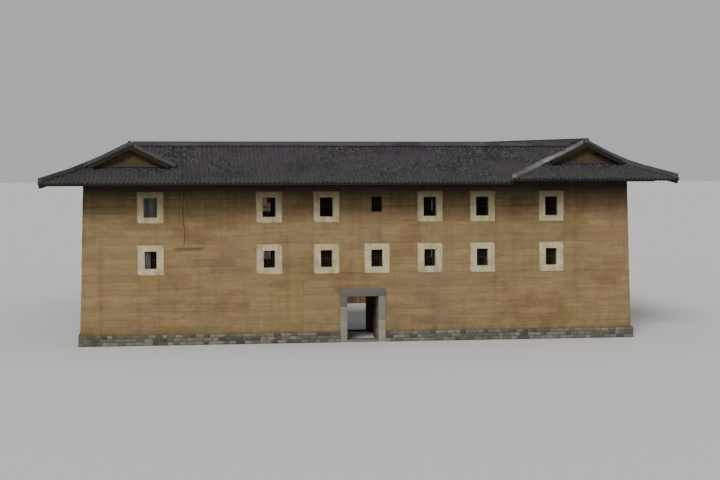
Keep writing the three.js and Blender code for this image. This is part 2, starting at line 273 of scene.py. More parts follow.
def spread(piece, spots, tones, axis=0):
    places = np.zeros((len(spots), 3))
    places[:, axis] = spots
    return scatter(piece, places, tones=tones)


# upright boards side by side, each a little forward or back of the next
def plankRow(name, start, end, low, high, front, thick, width, seed, slip=0.003):
    count = max(1, round((end - start) / width))
    step = (end - start) / count
    gap = 0.003
    plank = addBlock(name, (start + gap, front, low), (start + step - gap, front + thick, high))
    size = len(plank.data.vertices)
    repeat(plank, count, (step, 0, 0))
    dice = np.random.default_rng(seed)
    corners = cornersOf(plank)
    corners[:, 1] += np.repeat(dice.uniform(-slip, slip, count), size)
    moveCorners(plank, corners)
    return paintTone(plank, np.repeat(dice.uniform(0, 1, count), size))


# moves each vertex by a smooth random amount, so that nothing is dead straight
def roughen(piece, amount, scale, shift=0):
    offset = Vector((shift, shift * 0.7, -shift))
    corners = [Vector(c) for c in cornersOf(piece)]
    return moveCorners(piece, [list(c + noise.noise_vector(c * scale + offset) * amount) for c in corners])


def reachedAlong(points):
    steps = np.linalg.norm(np.diff(np.array(points, float), axis=0), axis=1)
    return np.concatenate([[0], np.cumsum(steps)])


# a piece modelled along x is laid along a line of points, keeping y across it and z upright
def followLine(piece, points):
    points = np.array(points, float)
    reached = reachedAlong(points)
    corners = cornersOf(piece)
    x = np.clip(corners[:, 0], 0, reached[-1])
    heading = points[-1] - points[0]
    across = np.array([-heading[1], heading[0], 0]) / math.hypot(heading[0], heading[1])
    placed = np.stack([np.interp(x, reached, points[:, i]) for i in range(3)], axis=1)
    placed += corners[:, 1:2] * across + corners[:, 2:3] * np.array([0, 0, 1])
    return moveCorners(piece, placed)


# keeps the side of the plane that its normal points away from
def cutOff(piece, point, normal, fill=True):
    editMesh(piece, bpy.ops.mesh.bisect, plane_co=point, plane_no=normal, use_fill=fill, clear_outer=True)


# cuts right through at values of x, y or z, given as 0, 1 or 2
def scoreAt(piece, axis, values):
    openMesh(piece)
    for value in values:
        point, normal = [0, 0, 0], [0, 0, 0]
        point[axis], normal[axis] = value, 1
        bpy.ops.mesh.select_all(action="SELECT")
        bpy.ops.mesh.bisect(plane_co=point, plane_no=normal)
    closeMesh()


# a bar laid along a line of points, cut at each or at its folds; low and high are y and z of its section
def addStrip(name, points, low, high, soft, tone, folds=None):
    reached = reachedAlong(points)
    strip = addBlock(name, (0, *low), (reached[-1], *high))
    scoreAt(strip, 0, reached[1:-1] if folds is None else folds)
    if soft:
        softenEdges(strip, soft, angle=1.2)
    return paintTone(followLine(strip, points), tone)


# mortar, cut across so that it can be uneven; amount and size of that as for roughen
def addMortar(name, low, high, cuts, uneven, tone):
    lump = addBlock(name, low, high, 0.03)
    scoreAt(lump, 0, cuts)
    return paintTone(roughen(lump, *uneven), tone)


def joinAs(name, pieces):
    pick(*pieces)
    if len(pieces) > 1:
        bpy.ops.object.join()
    piece = bpy.context.object
    piece.name = piece.data.name = name
    return piece


def turnToWing(piece, wingName):
    piece.rotation_euler = (0, 0, math.radians(90 * wings[wingName]["turns"]))
    return settle(piece)


# joins a piece's parts, turns them to their wing if they are modelled as if in front, gives it its material
# and shading, hangs it under the root body, and hides the frame's parts that it replaces
def finishPiece(name, parts, material, slot, *nodes, wing="front", smooth=None):
    piece = turnToWing(joinAs(name, parts), wing)
    piece.data.materials.clear()
    piece.data.materials.append(material)
    if smooth:
        bpy.ops.object.shade_smooth_by_angle(angle=smooth)
    else:
        bpy.ops.object.shade_flat()
    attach(piece, "root")
    if nodes:
        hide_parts(*nodes)


# Material helpers

# type of node, its settings, its inputs in the order they are given, and the output that goes on
nodeKinds = {
    "spot": ("ShaderNodeTexCoord", {}, (), "Object"),
    "attribute": ("ShaderNodeAttribute", {}, (), "Fac"),
    "mapping": ("ShaderNodeMapping", {}, ("Vector", "Scale", "Location"), 0),
    "split": ("ShaderNodeSeparateXYZ", {}, (0,), "Z"),
    "combine": ("ShaderNodeCombineXYZ", {}, (0, 1), 0),
    "noise": ("ShaderNodeTexNoise", {}, ("Vector", "Scale", "Detail", "Roughness"), "Fac"),
    "cells": ("ShaderNodeTexVoronoi", {}, ("Vector", "Scale"), "Distance"),
    "dice": ("ShaderNodeTexWhiteNoise", {"noise_dimensions": "2D"}, ("Vector",), 0),
    "range": ("ShaderNodeMapRange", {}, ("Value", "From Min", "From Max", "To Min", "To Max"), 0),
    "ramp": ("ShaderNodeValToRGB", {}, (0,), 0),
    "mix": ("ShaderNodeMix", {"data_type": "RGBA"}, (0, 6, 7), 2),
    "bump": ("ShaderNodeBump", {}, ("Height", "Distance", "Strength"), 0),
}
for operation in ("ADD", "SUBTRACT", "MULTIPLY", "DIVIDE", "FLOOR", "PINGPONG"):
    nodeKinds[operation.lower()] = ("ShaderNodeMath", {"operation": operation}, (0, 1), 0)


def linearColor(hexText):
    values = [int(hexText[i:i + 2], 16) / 255 for i in (1, 3, 5)]
    return [v / 12.92 if v <= 0.04045 else ((v + 0.055) / 1.055) ** 2.4 for v in values] + [1]


# stops are places on a ramp, each with a colour or a grey from 0 to 1
def addNode(tree, kind, *values, stops=(), output=None, **settings):
    nodeType, fixed, inputs, mainOutput = nodeKinds[kind]
    node = tree.nodes.new(nodeType)
    for key, value in (fixed | settings).items():
        setattr(node, key, value)
    for place, value in zip(inputs, values):
        if isinstance(value, bpy.types.NodeSocket):
            tree.links.new(value, node.inputs[place])
        else:
            node.inputs[place].default_value = value
    for i, (place, color) in enumerate(stops):
        element = node.color_ramp.elements[i] if i < 2 else node.color_ramp.elements.new(place)
        element.position = place
        element.color = linearColor(color) if isinstance(color, str) else (color, color, color, 1)
    return node.outputs[output or mainOutput]


def newMaterial(name, roughness):
    material = bpy.data.materials.new(name)
    material.use_nodes = True
    shader = material.node_tree.nodes["Principled BSDF"]
    shader.inputs["Roughness"].default_value = roughness
    shader.inputs["Specular IOR Level"].default_value = 0.25
    return material, partial(addNode, material.node_tree)


# a tint over a colour, as strong as the mask says, or as the stops make of it
def tinted(add, color, tint, mask, *stops):
    return add("mix", add("ramp", mask, stops=stops) if stops else mask, color, linearColor(tint))


# a colour darkened by a share of the greys that the stops make of the mask
def shaded(add, color, share, mask, *stops):
    return add("mix", share, color, add("ramp", mask, stops=stops), blend_type="MULTIPLY")


def finishMaterial(material, color, *bump):
    tree = material.node_tree
    shader = tree.nodes["Principled BSDF"]
    tree.links.new(color, shader.inputs["Base Color"])
    if bump:
        tree.links.new(addNode(tree, "bump", *bump), shader.inputs["Normal"])
    return material


# Materials that several pieces share

# unglazed grey clay tile, or lime gone grey: each tile its own tone, lichen in patches and along damp eaves
def makeClayTile(name, dark, middle, light, lichen):
    material, add = newMaterial(name, 0.85)
    spot, tone = add("spot"), add("attribute", attribute_name="tone")
    color = add("ramp", tone, stops=((0, dark), (0.5, middle), (1, light)))
    fields = add("noise", spot, 0.3, 4, 0.55)
    color = tinted(add, color, "#50464d", fields, (0.42, 0), (0.64, 0.7))
    darkening = add("noise", add("mapping", spot, (1, 1, 1), (9, 2, 6)), 0.45, 5, 0.6)
    color = tinted(add, color, "#232327", darkening, (0.5, 0), (0.68, 0.55))
    moss = add("noise", add("mapping", spot, (1, 1, 1), (4, 9, 2)), 0.55, 5, 0.6)
    color = tinted(add, color, lichen, moss, (0.54, 0), (0.7, 0.55))
    damp = add("range", add("split", spot), 10.0, 9.3)
    wet = add("multiply", damp, add("ramp", moss, stops=((0.4, 0.25), (0.6, 0.8))))
    color = tinted(add, color, lichen, wet)
    speck = add("noise", spot, 18, 5, 0.7)
    color = shaded(add, color, 0.5, speck, (0.32, "#8a8a8a"), (0.68, "#ffffff"))
    return finishMaterial(material, color, speck, 0.008, 0.6)


# fir, never painted: brown under cover, silvered where weather reaches it; grain about 8 mm wide, drawn at 25
def makeFir(name, dark, light):
    material, add = newMaterial(name, 0.75)
    tone = add("attribute", attribute_name="tone")
    laid = add("attribute", attribute_name="grain", output="Vector")
    log = add("combine", add("multiply", tone, 37), add("multiply", tone, 91))   # each board from its own log
    veins = add("noise", add("mapping", laid, (1.3, 42, 42), log), 1, 4, 0.6)
    color = add("ramp", veins, stops=((0.3, dark), (0.7, light)))
    knots = add("cells", add("mapping", laid, (1.4, 7, 7), log), 1)
    color = tinted(add, color, dark, knots, (0.05, 0.7), (0.12, 0))
    color = shaded(add, color, 0.6, tone, (0, "#7c7c7c"), (1, "#ffffff"))
    clouds = add("noise", add("spot"), 1.1, 4, 0.55)
    color = shaded(add, color, 0.4, clouds, (0.3, "#8c8c8c"), (0.7, "#ffffff"))
    return finishMaterial(material, color, veins, 0.004, 0.7)


# split or dressed stone, and the clay mortar between: matt, each stone its own tone, gritty, damp in patches
def makeStone(name, dark, light, roughness, grit):
    material, add = newMaterial(name, roughness)
    spot, tone = add("spot"), add("attribute", attribute_name="tone")
    crystals = add("noise", spot, grit, 6, 0.75)
    color = add("ramp", tone, stops=((0, dark), (1, light)))
    color = shaded(add, color, 0.65, crystals, (0.32, "#7f7f7f"), (0.66, "#ffffff"))
    color = tinted(add, color, "#4b4a3d", add("noise", spot, 0.9, 4, 0.55), (0.55, 0), (0.8, 0.5))
    return finishMaterial(material, color, crystals, 0.01, 0.7)


roofTile = makeClayTile("greyClayTile", "#2e2c2e", "#403d40", "#5d595b", "#4b4f43")
ridgeLime = makeClayTile("weatheredRidgeLime", "#3a3838", "#504d4c", "#6a6663", "#44463b")
stepLime = makeClayTile("fresherRidgeLime", "#6b6866", "#918d89", "#b3afa9", "#5a5b52")
# very dark fir for the timbers under the eaves and verges: old wood, and painted shade under the eaves
eaveFir = makeFir("agedAndShadedEaveFir", "#201a14", "#3f342a")
floorFir = makeFir("floorFir", "#3a2c20", "#5d4834")
leafFir = makeFir("gateLeafFir", "#453527", "#7b634b")
windowFir = makeFir("windowFir", "#241b14", "#43352a")
greyFir = makeFir("silveredFir", "#474846", "#72746f")
galleryFir = makeFir("galleryFir", "#6a5843", "#a8927a")
roomFir = makeFir("roomFir", "#604c36", "#9b8061")
rubble = makeStone("riverStone", "#4f4c47", "#8e887c", 0.85, 22)
mortarBed = makeStone("clayMortar", "#6e6250", "#6e6250", 0.95, 30)
granite = makeStone("dressedGranite", "#716c62", "#a39b8c", 0.75, 60)
print("materials made")

# Roof tiles: pans and covers, laid in straight columns from eave to ridge

tileWork = {
    "pitch": 0.24,              # one column: a pan and a cover
    "exposure": 0.16,
    "lap": 0.02,
    "rise": 0.062,
    "lip": 0.016,
    "tuck": 0.004,              # how far the upper edge goes under the next tile
    "edge": 0.006,              # thickness that shows at the lower edge
    "eaveDrop": 0.016,          # how much lower the lips of the pans hang at the eave
    "section": [(0, 0), (0.22, 0.16), (0.32, 0.74), (0.5, 1), (0.68, 0.74), (0.78, 0.16), (1, 0)],
    "coverPoints": (2, 3, 4),
    "depth": 0.075,             # from the crown of the tiles down to the boards
    "shift": 0.006,             # how far a tile has slipped or tipped
    "valleyGap": 0.16,          # how far the tiles stop short of the middle of a valley
    "sag": 0.012,
    "seed": 4,
}


# one pan and half a cover on each side, lying flat, with its lower edge turned down
def makeTileCell():
    pick()
    shape = np.array(tileWork["section"])
    sides = len(shape) - 1
    bpy.ops.mesh.primitive_grid_add(x_subdivisions=sides, y_subdivisions=1, size=1)
    cell = bpy.context.object
    corners = cornersOf(cell)
    index = np.rint((corners[:, 0] + 0.5) * sides).astype(int)
    upper = corners[:, 1] > 0
    corners[:, 0] = shape[index, 0] * tileWork["pitch"]
    corners[:, 1] = np.where(upper, tileWork["exposure"] + tileWork["lap"], 0)
    corners[:, 2] = shape[index, 1] * tileWork["rise"] + np.where(upper, -tileWork["tuck"], tileWork["lip"])
    moveCorners(cell, corners)
    openMesh(cell, "DESELECT")
    closeMesh()
    for edge in cell.data.edges:
        edge.select = all(cell.data.vertices[v].co.y < 0.001 for v in edge.vertices)
    down = -tileWork["lip"] - tileWork["edge"]
    bpy.ops.object.mode_set(mode="EDIT")
    bpy.ops.mesh.extrude_region_move(TRANSFORM_OT_translate={"value": (0, 0, down)})
    closeMesh()
    return cell


# a band of roof runs from dFrom to dTo up the slope; its sides are (a, b), and lie where u = a + b * d
def trimToBand(piece, band, fill=True):
    dFrom, dTo, low, high = band
    cutOff(piece, (low[0], 0, 0), (-1, low[1], 0), fill)
    cutOff(piece, (high[0], 0, 0), (1, -high[1], 0), fill)
    cutOff(piece, (0, dTo, 0), (0, 1, 0), fill)
    if dFrom > 0:
        cutOff(piece, (0, dFrom, 0), (0, -1, 0), fill)
    return piece


def bandSpan(band):
    dFrom, dTo, low, high = band
    left = min(low[0] + low[1] * dFrom, low[0] + low[1] * dTo)
    return left, max(high[0] + high[1] * dFrom, high[0] + high[1] * dTo)


def tileField(band, seed):
    pitch, exposure, shift = tileWork["pitch"], tileWork["exposure"], tileWork["shift"]
    left, right = bandSpan(band)
    firstColumn, firstCourse = math.floor(left / pitch), math.floor(band[0] / exposure + 1e-6)
    columns = math.ceil(right / pitch) - firstColumn
    courses = math.ceil(band[1] / exposure) - firstCourse
    field = makeTileCell()
    cell = cornersOf(field)
    perCell = len(cell)
    point = np.array([np.argmin(abs(np.array(tileWork["section"])[:, 0] * pitch - u)) for u in cell[:, 0]])
    repeat(field, columns, (pitch, 0, 0))
    repeat(field, courses, (0, exposure, 0))
    corners = cornersOf(field)
    number, place = np.divmod(np.arange(len(corners)), perCell)
    course, column = np.divmod(number, columns)
    isCover = np.isin(point[place], tileWork["coverPoints"])
    panColumn = column + (point[place] > 3)
    dice = np.random.default_rng(seed)
    coverDice = dice.uniform(-1, 1, (4, columns, courses))
    panDice = dice.uniform(-1, 1, (4, columns + 1, courses))
    rolls = np.where(isCover, coverDice[:, column, course], panDice[:, panColumn, course])
    lower = (cell[:, 1] < 0.001)[place]
    corners[:, 0] += rolls[0] * shift
    corners[:, 1] += np.where(lower, rolls[1] * shift, 0)
    corners[:, 2] += rolls[2] * shift * np.where(lower, 0.7, 0.3)
    if band[0] == 0:
        edge = place >= perCell - len(tileWork["section"])
        corners[(course == 0) & ~isCover & lower & edge, 2] -= tileWork["eaveDrop"]
    corners += (firstColumn * pitch, firstCourse * exposure, 0)
    moveCorners(field, corners)
    paintTone(field, 0.5 + 0.5 * rolls[3])
    return trimToBand(field, band, fill=False)


# from lying flat (u along the eave, d up the slope, height over the roof's base) to its place on the wing
def layOnRoof(piece, wingName, inner, lift, base):
    wing = wings[wingName]
    corners = cornersOf(piece)
    d = corners[:, 1].copy()
    sag = tileWork["sag"] * np.sin(corners[:, 0] * 0.61 + wing["turns"]) * np.sin(d * 0.7)
    corners[:, 2] += roofTop(np.clip(d, 0, reach), lift) + base + sag
    v, inwards = edgeOf(wing, inner)
    corners[:, 1] = v + inwards * d
    moveCorners(piece, corners)
    if inner:                                 # laid from the other side, so the faces turn over
        editMesh(piece, bpy.ops.mesh.flip_normals)
    return turnToWing(piece, wingName)


def mirroredBands(bands):
    return [(a, b, (-high[0], -high[1]), (-low[0], -low[1])) for a, b, low, high in bands]


# every slope: node, wing, inner or outer, lift, and its bands (from d, to d, left limit, right limit)
def listSlopes():
    foot = house["vergeFoot"]
    slopes = []
    for name in ("front", "back", "left", "right"):
        wing = wings[name]
        end, court, verge, lift = wing["eaveEnd"], wing["courtEnd"], wing["verge"], wing["lift"]
        wall = end - gable
        toCourt = [(0, reach, (-court, -1), (court, 1))]
        if wing["long"]:
            outer = [(0, gable, (-end, 1), (court, 1)), (gable, reach, (-court, -1), (court, 1))]
            skirt = [(0, gable, (court, 1), (end, -1))]
            flip = mirroredBands if name == "back" else list
            slopes.append((f"{name}_outer_slope", name, False, 0, flip(outer)))
            slopes.append((f"{name}_inner_slope", name, True, 0, toCourt))
            slopes.append((f"{name}_right_skirt", name, False, house["lift"], flip(skirt)))
        else:
            outer = [
                (0, gable, (-end, 1), (end, -1)),
                (gable, foot, (-wall, 0), (wall, 0)),
                (foot, reach, (-verge, 0), (verge, 0)),
            ]
            over = [(gable, foot, (end, -1), (wall, 0)), (foot, reach, (end, -1), (verge, 0))]
            slopes.append((f"{name}_roof", name, False, lift, outer))
            slopes.append((f"{name}_roof", name, True, lift, over + mirroredBands(over)))
            slopes.append((f"{name}_inner_slope", name, True, lift, toCourt))
    return slopes


def layTiles():
    fields = {}
    seed, gap = tileWork["seed"], tileWork["valleyGap"]
    for node, wingName, inner, lift, bands in listSlopes():
        for dFrom, dTo, low, high in bands:
            seed += 1
            low, high = (low[0] + gap * (low[1] < 0), low[1]), (high[0] - gap * (high[1] > 0), high[1])
            field = tileField((dFrom, dTo, low, high), seed)
            fields.setdefault(node, []).append(layOnRoof(field, wingName, inner, lift, -tileWork["depth"]))
    for node, parts in fields.items():
        name = node.replace("_slope", "").replace("_roof", "") + "_tiles"
        finishPiece(name, parts, roofTile, "roof_tile", node, smooth=0.9)


layTiles()
print("tiles laid")

# Under the tiles: boards on rafters, a board along the eave, and the purlins and beams that carry them

eaveWork = {
    "boardTop": -0.097,         # below the crown of the tiles
    "boardThick": 0.018,
    "boardWide": 0.22,
    "rafterWide": 0.07,
    "rafterEvery": 0.3,
    "fasciaHigh": 0.1,
    "fasciaThick": 0.03,
    "fasciaBack": 0.02,         # the tiles reach out over it
    "purlinRadius": 0.07,
    "outerPurlins": (0.45, 1.4),
    "innerPurlins": (0.35,),
    "beamWide": 0.12,
    "beamHigh": 0.16,
    "beamEvery": 2.9,
    "beamTip": 0.2,             # how far a beam reaches out past the purlin it carries
    "beamInWall": 0.5,
    "fromCorner": 1.1,          # wall's corner to where the row of beams starts
    "fromEnd": 0.3,             # from there to the first beam
    "hipBeam": (0.08, 2.6),     # from and to, in plan from the eave
    "hipFold": math.hypot(1.57 * math.sqrt(2), 0.52),       # how far along the beam it folds
    "hipWide": 0.14,
    "hipHigh": 0.2,
    "seed": 21,
}


def boardField(band, seed):
    wide, top = eaveWork["boardWide"], eaveWork["boardTop"]
    left, right = bandSpan(band)
    count = math.ceil((band[1] - band[0]) / wide)
    low, high = (left, band[0], top - eaveWork["boardThick"]), (right, band[0] + wide - 0.006, top)
    board = addBlock("boards", low, high)
    repeat(board, count, (0, wide, 0))
    paintTone(board, np.repeat(np.random.default_rng(seed).uniform(0.2, 1, count), 8))
    return trimToBand(board, band)


def rafterField(band, seed):
    every = eaveWork["rafterEvery"]
    left, right = bandSpan(band)
    first, last = math.floor(left / every), math.ceil(right / every)
    start = band[0] or eaveWork["fasciaBack"] + eaveWork["fasciaThick"]
    low = (first * every, start, -house["roofDepth"])
    high = (low[0] + eaveWork["rafterWide"], band[1], eaveWork["boardTop"] - eaveWork["boardThick"])
    rafter = addBlock("rafters", low, high)
    scoreAt(rafter, 1, foldsFrom(*band[:2])[1:-1])
    size = len(rafter.data.vertices)
    repeat(rafter, last - first, (every, 0, 0))
    paintTone(rafter, np.repeat(np.random.default_rng(seed).uniform(0, 1, last - first), size))
    return trimToBand(rafter, band)


def fasciaOf(band):
    top, back = eaveWork["boardTop"], eaveWork["fasciaBack"]
    left, right = bandSpan(band)
    low = (left, back, top - eaveWork["fasciaHigh"])
    high = (right, back + eaveWork["fasciaThick"], top + 0.03)
    return trimToBand(addBlock("fascia", low, high, tone=0.5), (0, 1, band[2], band[3]))


def layUnderRoof():
    timbers = {}
    seed = eaveWork["seed"]
    for node, wingName, inner, lift, bands in listSlopes():
        for band in bands:
            seed += 1
            parts = [boardField(band, seed), rafterField(band, seed + 100)]
            if band[0] == 0:
                parts.append(fasciaOf(band))
            timbers.setdefault(node, []).extend(layOnRoof(part, wingName, inner, lift, 0) for part in parts)
    for node, parts in timbers.items():
        finishPiece(node + "_timbers", parts, eaveFir, "timber", node)


# the runs of each eave: wing, inner or outer, lift, from u, to u; the raised roof runs on over the long wings
def listEaves():
    eaves = []
    for name, wing in wings.items():
        end, court, lift = wing["eaveEnd"], wing["courtEnd"], house["lift"]
        if name == "front":
            eaves += [(name, False, 0, -end, court), (name, False, lift, court, end)]
        elif name == "back":
            eaves += [(name, False, lift, -end, -court), (name, False, 0, -court, end)]
        else:
            eaves.append((name, False, wing["lift"], -end, end))
        eaves.append((name, True, wing["lift"], -court, court))
    return eaves


def eaveFrame(name, inner, lift, start, end):
    wing, radius = wings[name], eaveWork["purlinRadius"]
    places = eaveWork["innerPurlins" if inner else "outerPurlins"]
    side, inwards = edgeOf(wing, inner)
    parts = []
    for d in places:
        v, z = side + inwards * d, roofUnder(d, lift) - radius
        ends = [start, end]
        for i, limit in enumerate((-wing["eaveEnd"], wing["eaveEnd"])):
            atStep = lift and wing["long"]
            if abs(ends[i] - limit) < 0.01 or inner or atStep:
                ends[i] += inwards * d * (1, -1)[i]
        parts.append(addLog("purlin", (ends[0], v, z), (ends[1], v, z), radius, 0.4))
    if inner:
        spots = wing["posts"]
        reachIn = wing["innerEave"] - wing["roomFace"] - 0.02
    else:
        limit, inset = wing["half"] - eaveWork["fromCorner"], eaveWork["fromEnd"]
        first, last = max(start, -limit), min(end, limit)
        count = max(2, round((last - first) / eaveWork["beamEvery"]))
        spots = np.linspace(first + inset, last - inset, count)
        reachIn = house["overhang"] + eaveWork["beamInWall"]
    half = eaveWork["beamWide"] / 2
    top = roofUnder(places[0], lift) - 1.6 * radius
    near, far = sorted((side + inwards * (places[0] - eaveWork["beamTip"]), side + inwards * reachIn))
    beam = addBlock("beam", (-half, near, top - eaveWork["beamHigh"]), (half, far, top), 0.015)
    tones = np.random.default_rng(len(spots)).uniform(0.2, 0.9, len(spots))
    parts.append(spread(beam, spots, tones))
    if not inner:
        v, strutTop = side + places[1], roofUnder(places[1], lift) - 1.7 * radius
        strut = addBlock("strut", (-half, v - half, top - 0.01), (half, v + half, strutTop))
        parts.append(spread(strut, spots, tones))
    return parts


# beams under the hips, from the wall's corner out to the corner of the eave
def cornerBeams():
    parts = []
    for name, side in (("left", -1), ("left", 1), ("right", -1), ("right", 1)):
        wing, half = wings[name], eaveWork["hipWide"] / 2
        points = risingLine(wing, False, side, wing["eaveEnd"], -1, *eaveWork["hipBeam"], house["roofDepth"])
        low, high, folds = (-half, -eaveWork["hipHigh"]), (half, 0), [eaveWork["hipFold"]]
        beam = addStrip("hipBeam", points, low, high, 0.015, 0.5, folds)
        parts.append(turnToWing(beam, name))
    return parts


def layEaveFrames():
    groups = {}
    for name, inner, lift, start, end in listEaves():
        parts = [turnToWing(part, name) for part in eaveFrame(name, inner, lift, start, end)]
        groups.setdefault((name, inner), []).extend(parts)
    groups["left", False] += cornerBeams()
    for (name, inner), parts in groups.items():
        outer = "outer_slope" if wings[name]["long"] else "roof"
        node = f"{name}_{'inner_slope' if inner else outer}"
        title = f"{name}_{'court' if inner else 'outer'}_eave_frame"
        finishPiece(title, parts, eaveFir, "timber", node, smooth=0.6)


# Verges: a board along the edge, and the ends of the purlins under it

vergeWork = {"boardHigh": 0.26, "boardThick": 0.035, "endRadius": 0.08, "ends": (3.15, 4.0, 4.85)}


def layVerges():
    thick, radius = vergeWork["boardThick"] / 2, vergeWork["endRadius"]
    low, high = (-thick, -vergeWork["boardHigh"]), (thick, 0)
    for name in ("left", "right"):
        wing, parts = wings[name], []
        line = (wing["verge"] - 0.01, 0, house["vergeFoot"], reach, 0.03)
        for side in (-1, 1):
            up, down = (risingLine(wing, inner, side, *line) for inner in (False, True))
            parts.append(addStrip("verge", up + down[-2::-1], low, high, 0.006, 0.35))
            inside, outside = side * (wing["eaveEnd"] - gable - 0.25), side * (wing["verge"] - 0.04)
            for d in vergeWork["ends"]:
                z = roofUnder(d, wing["lift"]) - radius
                for v in sorted({wing["outerEave"] + d, wing["innerEave"] - d}):
                    parts.append(addLog("purlinEnd", (inside, v, z), (outside, v, z), radius, 0.6))
        finishPiece(f"{name}_verges", parts, eaveFir, "timber", f"{name}_roof", wing=name, smooth=0.6)


layUnderRoof()
layEaveFrames()
layVerges()
print("eaves framed")

# Rammed earth walls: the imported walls, with lifts, panels, uneven faces and rounded corners

wallWork = {
    "lift": 0.42,               # height of one lift of the formwork
    "rows": (0, 0.04, 0.15, 0.27, 0.38),
    "panel": 2.4,
    "lap": 0.93,                # how far the panels of a lift are shifted against those below
    "column": 0.4,
    "groove": 0.013,
    "broad": 0.015,
    "fine": 0.006,
    "step": 0.005,
    "cornerRadius": 0.12,
    "crackPlace": -10.06,
    "crackFrom": 5.5,
    "crackTo": 8.6,
    "crackHalf": 0.022,
    "crackDepth": 0.04,
    "stains": ((-9.85, 5.37, 0.7, 0.02, 0.1), (9.5, 7.85, 1.0, 0.3, 0.36), (9.2, 8.1, 0.5, 0.2, 0.3)),
    "seed": 11,
}
batterSlope = float(house["batter"] / (roofUnder(gable) - house["footingTop"]))


# rammed earth: ochre soil with grit, tamped in layers inside a formwork, so it is matt, gritty and banded
def makeRammedEarth():
    material, add = newMaterial("rammedEarth", 0.95)
    spot, tone = add("spot"), add("attribute", attribute_name="tone")
    height = add("split", spot)
    patches = add("noise", add("mapping", spot, (1, 1, 1.3)), 0.42, 6, 0.6)
    color = add("ramp", patches, stops=((0.34, "#907650"), (0.5, "#a58b62"), (0.66, "#987f5d")))
    yellow = add("noise", add("mapping", spot, (1, 1, 1), (7, 3, 1)), 0.55, 4, 0.55)
    color = tinted(add, color, "#a5935a", yellow, (0.5, 0), (0.72, 0.35))
    red = add("noise", add("mapping", spot, (1, 1, 1), (1, 8, 5)), 0.6, 4, 0.55)
    color = tinted(add, color, "#9b6b4a", red, (0.55, 0), (0.75, 0.28))
    level = add("divide", add("subtract", height, house["footingTop"]), wallWork["lift"])
    lift = add("floor", level)
    along = add("add", add("split", spot, output="X"), add("split", spot, output="Y"))    # for all four walls
    shifted = add("add", along, add("multiply", lift, wallWork["lap"]))
    panel = add("floor", add("divide", shifted, wallWork["panel"]))
    batch = add("dice", add("combine", lift, panel))
    color = shaded(add, color, 0.3, batch, (0, "#b9b9b9"), (1, "#ffffff"))
    layers = add("noise", add("mapping", spot, (0.5, 0.5, 8)), 1, 5, 0.6)      # tamped layers of about 120 mm
    color = shaded(add, color, 0.3, layers, (0.35, "#a0a0a0"), (0.65, "#ffffff"))
    broken = add("noise", spot, 2.2, 4, 0.55)
    nearLine = add("range", add("pingpong", level, 0.5), 0.06, 0)
    line = add("multiply", nearLine, add("ramp", broken, stops=((0.4, 0), (0.62, 0.48))))
    color = tinted(add, color, "#4b3a22", line)
    grit = add("noise", spot, 22, 6, 0.75)
    color = shaded(add, color, 0.45, grit, (0.3, "#9c9c9c"), (0.62, "#ffffff"))
    pebbles = add("cells", add("mapping", spot, (1, 1, 1.4)), 23)              # pebbles of about 40 mm
    color = tinted(add, color, "#b09c78", pebbles, (0.1, 0.32), (0.22, 0))
    runs = add("noise", add("mapping", spot, (2.6, 2.6, 0.14)), 1, 5, 0.6)
    inGable = add("range", height, 9.3, 9.7, 1.0, 0.62)                        # less soot and less painted eave shade up in the gables
    # darker towards the eave, in streaks: partly soot, partly a painted shadow of the eave on the wall below
    # it
    nearEave = add("multiply", add("range", height, 6.8, 9.2), inGable)
    darkening = add("multiply", nearEave, add("ramp", runs, stops=((0.3, 0.55), (0.6, 1.0))))
    color = tinted(add, color, "#2b2319", add("multiply", darkening, 0.88))
    # painted shade: a dark band on the wall just under the eave, lighter in the gables
    shade = add("multiply", add("range", height, 8.0, 8.8), add("subtract", inGable, 0.2))
    color = tinted(add, color, "#14151a", shade)
    color = tinted(add, color, "#57482f", runs, (0.52, 0), (0.74, 0.3))
    damp = add("range", height, 1.5, 0.6)
    wet = add("multiply", damp, add("ramp", broken, stops=((0.35, 0.1), (0.65, 0.6))))
    color = tinted(add, color, "#5b5138", wet)
    crackShadeAndStains = add("subtract", 1, add("multiply", tone, 2, use_clamp=True))     # cracks and stains have low tones: painted shade down in the cracks, and darker stains
    color = tinted(add, color, "#2a1f12", add("multiply", crackShadeAndStains, 0.9))
    coarse = add("noise", add("mapping", spot, (1, 1, 1.6)), 7, 5, 0.65)
    relief = add("add", coarse, add("multiply", grit, 0.5))
    return finishMaterial(material, color, add("subtract", relief, add("multiply", pebbles, 0.5)), 0.03, 0.8)


# v of a wing's outer face at a height
def wallFace(name, z):
    return -wings[name]["across"] + batterSlope * (z - house["footingTop"])


# how far the face stands out from its plane at a place on a wing
def reliefAt(name, u, z):
    seed = wallWork["seed"] + 13 * wings[name]["turns"]
    level = (z - house["footingTop"]) / wallWork["lift"]
    layer = math.floor(level)
    toLine = abs(level - round(level)) * wallWork["lift"]
    panel = math.floor((u + layer * wallWork["lap"]) / wallWork["panel"])
    relief = wallWork["broad"] * noise.noise((u * 0.35, z * 0.35, seed))
    relief += wallWork["fine"] * noise.noise((u * 1.9, z * 2.3, seed + 5))
    relief += wallWork["step"] * (2 * noise.cell((layer + 0.5, panel + 0.5, seed)) - 1)
    depth = wallWork["groove"] * (0.4 + 0.6 * noise.cell((layer + 0.5, 3, seed)))
    return relief - depth * max(0, 1 - toLine / 0.035)


def directions(name):
    turn = math.radians(90 * wings[name]["turns"])
    return Vector((math.cos(turn), math.sin(turn), 0)), Vector((-math.sin(turn), math.cos(turn), 0))


# distance of each corner from the outer plane of a wing, inwards
def depthsBehind(name, corners):
    return corners @ np.array(directions(name)[1]) - wallFace(name, corners[:, 2])


